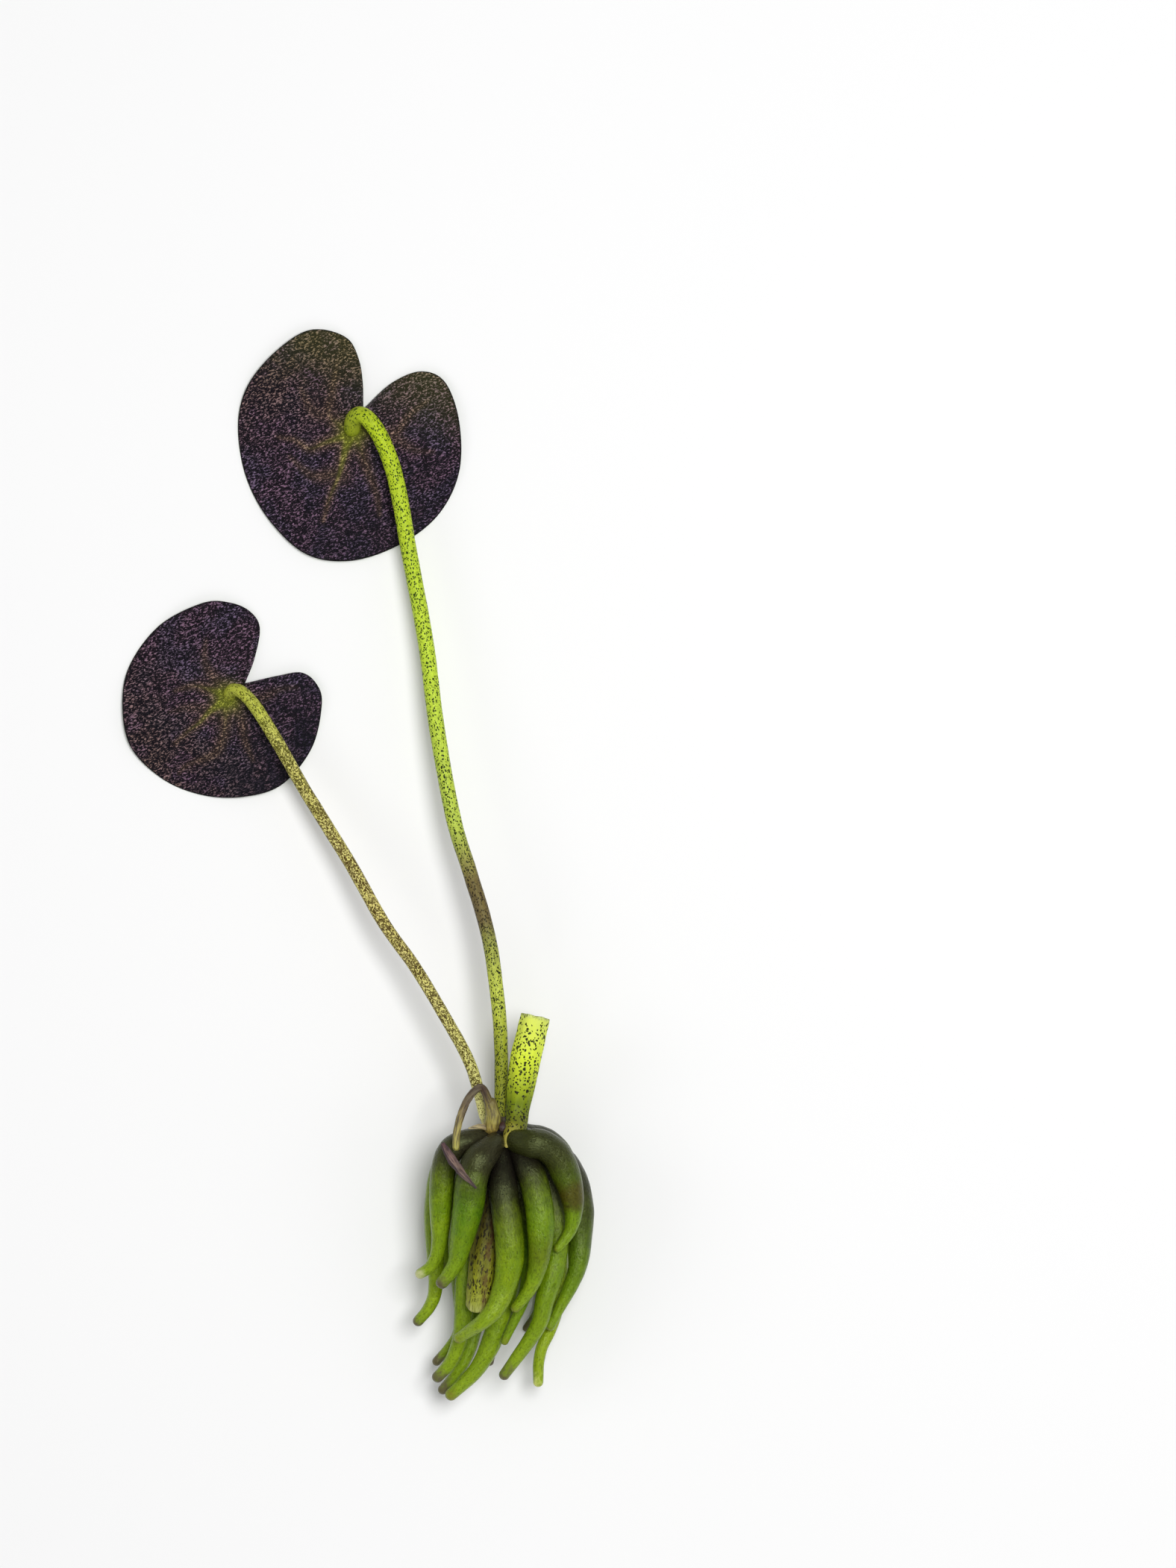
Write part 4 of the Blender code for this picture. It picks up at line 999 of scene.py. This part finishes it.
# Slot, finish, route, how many places and rings it has, the radii and colours along it, the colour
# of its folds, how dark the painted shade on its sides is, and the inputs of the stem's nodes
DRY_PIECES = {
    "stalk_sheath": (
        "withered_skin", "stalk_sheath_skin",
        ((-1.7, 4.6, 16.3), (-1.4, 3.2, 16.2), (-1.2, 1.6, 16.0), (-1.4, -0.3, 15.6), (-1.2, -1.4, 15.2)),
        40, 50, ((0.0, 0.75), (0.25, 1.0), (0.5, 1.3), (0.8, 1.4), (1.0, 1.0)),
        ((0.0, 96, 80, 42), (0.25, 132, 122, 54), (0.6, 158, 148, 68), (1.0, 160, 132, 66)),
        rgb(84, 72, 30), 0.0, (36, 0.9, 0.3, 1.4, 51)),
    "dry_scale": (
        "withered_skin", "dry_scale_skin", ((-1.8, -0.6, 16.2), (-3.3, -0.2, 16.4), (-5.3, -0.5, 16.7)),
        30, 30, ((0.0, 0.5), (0.5, 0.42), (1.0, 0.12)), ((0.0, 150, 130, 80), (1.0, 204, 190, 140)),
        DRY_FOLD, 0.0, (20, 0.5, 0.3, 1.0, 53)),
    "leaf_scar": (
        "withered_blade", "leaf_scar_skin", ((0.5, 0.6, 16.4), (0.35, -0.2, 16.8), (0.15, -1.0, 16.9)),
        20, 20, ((0.0, 0.3), (0.5, 0.6), (1.0, 0.3)), ((0.0, 60, 26, 22), (1.0, 38, 20, 18)),
        DRY_FOLD, 0.0, (20, 0.5, 0.3, 0.8, 54)),
    # The crown's bark darkens away from the stems to near-black, partly painted shade of the recess between
    # the tubers' necks
    "crown": (
        "crown_bark", "crown_bark", ((0.3, 1.4, 12.6), *CROWN_ROUTE, (0.0, -10.5, 10.4)),
        60, 80, ((0.0, 1.7), (0.2, 2.6), (0.6, 2.4), (1.0, 1.3)),
        ((0.0, 84, 70, 44), (0.2, 44, 36, 26), (1.0, 34, 28, 22)),
        rgb(14, 11, 10), 0.0, (48, 1.0, 0.5, 1.8, 55, 7, 0.06)),
    "withered_stalk": (
        "withered_skin", "withered_stalk_skin", ((-1.2, -0.4, 15.0), *STALK_ROUTE), 120, 130, STALK_RADII,
        ((0.0, 170, 156, 76), (0.22, 132, 120, 56), (0.36, 82, 62, 42), (0.46, 104, 94, 72),
         (0.6, 112, 96, 66), (0.72, 150, 134, 78), (0.85, 178, 166, 84), (1.0, 162, 158, 66)),
        DRY_FOLD, 0.0, (28, 0.8, 0.3, 1.6, 61)),
    "withered_leaf": (
        "withered_blade", "withered_leaf_skin",
        [(x, y, z - WITHERED_LEAF_DROP) for x, y, z in WITHERED_LEAF_ROUTE],
        80, 90, ((0.0, 0.35), (0.3, 0.72), (0.55, 0.7), (1.0, 0.12)),
        ((0.0, 84, 56, 62), (0.3, 140, 112, 104), (0.55, 134, 110, 94), (1.0, 58, 34, 42)),
        rgb(40, 22, 32), 0.8, (48, 0.5, 0.7, 1.1, 62, 5, 0.18)),
}

# Small shreds round the heart that the solids leave out
WITHOUT_SOLID = ("stalk_sheath", "dry_scale", "leaf_scar")


def make_dry_pieces(tree, heart):
    dry = make_dry_group()
    for name, row in DRY_PIECES.items():
        slot, finish, route, places, rings, radii, colours, fold, edge_shade, inputs = row
        material = make_dry_material(finish, dry, colours, fold, edge_shade)
        line = smooth_line(route, places)
        piece = make_stem(name, line, stepped(radii), rings, tree, heart, material, inputs)
        finish_piece(piece, slot, *(() if name in WITHOUT_SOLID else (name,)))


# The blades

RIM_INSIDE = 0.991  # the finer rim stays inside the solid's
ROW_CROWDING = 1.25  # rows of points lie closer together towards the rim
ROW_BY_RIM = 0.992  # where the last row before the rim is
VEIN_HEIGHT = 0.16
PAD_HEIGHT = 0.7
PAD_RADIUS = 1.5
BUCKLE_HEIGHT = 0.16
BUCKLE_SIZE = 5.0
BUCKLE_WAVES = 7
OLIVE_SHARE = 0.2


def distance_to_line(points, line):
    """The distance of each point from a line, in plan, and the share of the line's length there."""
    starts, spans = line[:-1], np.diff(line, axis=0)
    offset = points[:, None, :] - starts
    t = np.clip((offset * spans).sum(axis=2) / (spans**2).sum(axis=1), 0.0, 1.0)
    gap = np.linalg.norm(offset - t[:, :, None] * spans, axis=2)
    nearest = gap.argmin(axis=1)
    rows = np.arange(len(points))
    return gap[rows, nearest], (nearest + t[rows, nearest]) / len(spans)


def vein_shares(points, veins):
    """How much of a vein each point carries: its colour reaches wider than its ridge."""
    colour = np.zeros(len(points))
    ridge = np.zeros(len(points))
    for strength, route in veins:
        gap, share = distance_to_line(points, smooth_line(route, 24))
        width = 1.8 - 1.4 * share**0.6
        fade = min(1.25 * strength, 1.0) * (1.0 - 0.4 * share)
        colour = np.maximum(colour, fade * np.exp(-((gap / width) ** 2)))
        ridge = np.maximum(ridge, fade * np.exp(-((gap / (0.45 * width)) ** 2)))
    return colour, ridge


def buckles(points, seed):
    """Gentle bulges from -1 to 1."""
    generator = np.random.default_rng(seed)
    total = np.zeros(len(points))
    for _ in range(BUCKLE_WAVES):
        turn, phase = generator.uniform(0.0, 2.0 * math.pi, 2)
        wave = 2.0 * math.pi / (BUCKLE_SIZE * generator.uniform(0.7, 1.5))
        total += np.sin((points[:, 0] * math.cos(turn) + points[:, 1] * math.sin(turn)) * wave + phase)
    return total / BUCKLE_WAVES


def blade_height(reach, turn, waves, phase):
    """Height of the blade's lower face: a low dome whose rim waves on the table."""
    lift = LEAF_LIFT * 0.5 * (1.0 + np.sin(waves * turn + phase)) * reach**2
    return LEAF_DOME * (1.0 - reach**2) + lift


def make_leaf(name, joint, waves, phase, outline, veins, sides_of_colour, materials, heart):
    joint = np.array(joint)
    rim = joint + (smooth_line(outline, LEAF_AROUND + 1)[:-1] - joint) * RIM_INSIDE
    turns = np.arctan2(*(rim - joint).T[::-1])
    rows = 1.0 - (1.0 - np.linspace(0.0, 1.0, LEAF_REACHES + 1)[1:]) ** ROW_CROWDING
    reaches = np.array([*rows[:-1], ROW_BY_RIM, 1.0])
    flat = (joint + (rim - joint) * reaches[:, None, None]).reshape(-1, 2)
    reach = np.repeat(reaches, LEAF_AROUND)
    colour, ridge = vein_shares(flat, veins)
    low = blade_height(reach, np.tile(turns, len(reaches)), waves, phase)
    pad = np.exp(-((np.linalg.norm(flat - joint, axis=1) / PAD_RADIUS) ** 2))
    bulges = BUCKLE_HEIGHT * buckles(flat, len(outline)) * (1.0 - ramp(reach, 0.85, 1.0))
    relief = VEIN_HEIGHT * ridge + PAD_HEIGHT * pad + bulges
    high = low + LEAF_THICKNESS + (LEAF_RIM_THICKNESS - LEAF_THICKNESS) * reach + relief
    middle_rim = (low[-LEAF_AROUND:] + high[-LEAF_AROUND:]) / 2.0
    high[-LEAF_AROUND:] = middle_rim
    under = np.column_stack([flat, np.maximum(low, 0.0)])[:-LEAF_AROUND]
    centre = blade_height(0.0, 0.0, waves, phase)
    middles = np.array([[*joint, centre + LEAF_THICKNESS + PAD_HEIGHT], [*joint, centre]])
    points = np.vstack([np.column_stack([flat, high]), under, middles])
    upper, lower = leaf_faces(len(reaches), len(flat))
    mesh = bpy.data.meshes.new(name + "_blade")
    mesh.from_pydata((points * MM + heart).tolist(), [], upper + lower)
    mesh.polygons.foreach_set("material_index", [0] * len(upper) + [1] * len(lower))
    mesh.shade_smooth()
    for material in materials:
        mesh.materials.append(material)
    # The second direction is where painted shade darkens a lobe that tilts away
    warm, tilted_lobe_shade, olive = ((flat - joint) @ np.array(side) for side in sides_of_colour)
    greened = 0.7 * ramp(colour, 0.6, 1.0) + OLIVE_SHARE * ramp(olive, 1.0, 14.0)
    green = np.clip(1.3 * pad**0.6 + greened, 0.0, 1.0)
    shades = {"vein": colour, "green": green, "rim": ramp(reach, 0.984, 0.996),
              "warm": ramp(warm, -6.0, 18.0), "tilted_lobe_shade": ramp(tilted_lobe_shade, 0.0, 14.0)}
    store(mesh, {
        key: np.concatenate([values, values[:-LEAF_AROUND], values[:1], values[:1]])
        for key, values in shades.items()})
    leaf = in_scene(name + "_blade", mesh)
    finish_piece(leaf, "leaf_underside", name)


def leaf_faces(loops, count):
    """Faces of the upper and the lower sheet, which share the rim."""
    pairs = [(i, (i + 1) % LEAF_AROUND) for i in range(LEAF_AROUND)]
    middle = 2 * count - LEAF_AROUND
    upper = [(middle, i, j) for i, j in pairs]
    lower = [(middle + 1, count + j, count + i) for i, j in pairs]
    for loop in range(loops - 1):
        inner, outer = loop * LEAF_AROUND, (loop + 1) * LEAF_AROUND
        low_inner = count + inner
        low_outer = outer if loop == loops - 2 else count + outer
        upper += [(inner + j, inner + i, outer + i, outer + j) for i, j in pairs]
        lower += [(low_inner + i, low_inner + j, low_outer + j, low_outer + i) for i, j in pairs]
    return upper, lower


# The table, the light and the camera

# What the camera looks at, from the heart, and how much of the table's length it sees
VIEW_CENTRE = (14.5, 56.4)
VIEW_HEIGHT = 262.75
CAMERA_HEIGHT = 1200.0
SENSOR = 36.0
TABLE_REACH = 3.0
TABLE_DROP = 0.00002  # keeps the table's face clear of the plant's
TABLE_PALENESS = 0.92
ROOM_LIGHT = 0.27

# Name, place, width and power
SOFTBOXES = (
    ("main_softbox", (0.2, 0.1, 0.9), 0.4, 6.1),
    ("left_softbox", (-0.75, 0.1, 0.6), 0.5, 0.9),
    ("right_softbox", (0.75, -0.1, 0.6), 0.5, 0.4),
    ("front_softbox", (0.05, -0.8, 0.6), 0.5, 0.9),
)


def make_stage():
    mesh = bpy.data.meshes.new("table")
    signs = ((-1, -1), (1, -1), (1, 1), (-1, 1))
    corners = [(x * TABLE_REACH, y * TABLE_REACH, -TABLE_DROP) for x, y in signs]
    mesh.from_pydata(corners, [], [(0, 1, 2, 3)])
    mesh.materials.append(new_material(
        "pale_table", lambda tree: {"Colour": grey(TABLE_PALENESS)}, 0.9, **{"Specular IOR Level": 0.1}))
    table = in_scene("table", mesh)
    world = bpy.data.worlds.new("soft_room")
    world.use_nodes = True
    background = world.node_tree.nodes["Background"]
    fill(world.node_tree, background, {"Color": grey(1.0), "Strength": ROOM_LIGHT})
    bpy.context.scene.world = world
    for softbox in SOFTBOXES:
        make_softbox(*softbox)
    bpy.context.scene.view_settings.view_transform = "Standard"


def make_softbox(name, place, size, power):
    """A round softbox that points at the middle of the plant."""
    light = bpy.data.lights.new(name, "AREA")
    light.shape = "DISK"
    light.size = size
    light.energy = power
    lamp = in_scene(name, light)
    lamp.location = place
    x, y, z = place
    lamp.rotation_euler = (math.atan2(math.hypot(x, y), z), 0.0, math.atan2(x, -y))


def make_camera(heart):
    camera = bpy.data.cameras.new("camera")
    camera.sensor_fit = "VERTICAL"
    camera.sensor_height = SENSOR
    camera.lens = SENSOR * CAMERA_HEIGHT / VIEW_HEIGHT
    camera.clip_start = 0.01
    viewer = in_scene("camera", camera)
    viewer.location = (*(np.array(VIEW_CENTRE) * MM + heart[:2]), CAMERA_HEIGHT * MM)
    bpy.context.scene.camera = viewer


def main():
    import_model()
    heart = heart_place()
    tree = make_stem_tree()
    speckle = make_speckle_group()
    pebbles = make_pebble_group()
    make_tubers(tree, heart)
    make_petioles(tree, speckle, heart)
    make_stubs(tree, speckle, heart)
    make_dry_pieces(tree, heart)
    materials = (make_underside_material(pebbles), make_upper_side_material(pebbles))
    for leaf in LEAVES:
        make_leaf(*leaf, materials, heart)
    make_stage()
    make_camera(heart)


main()
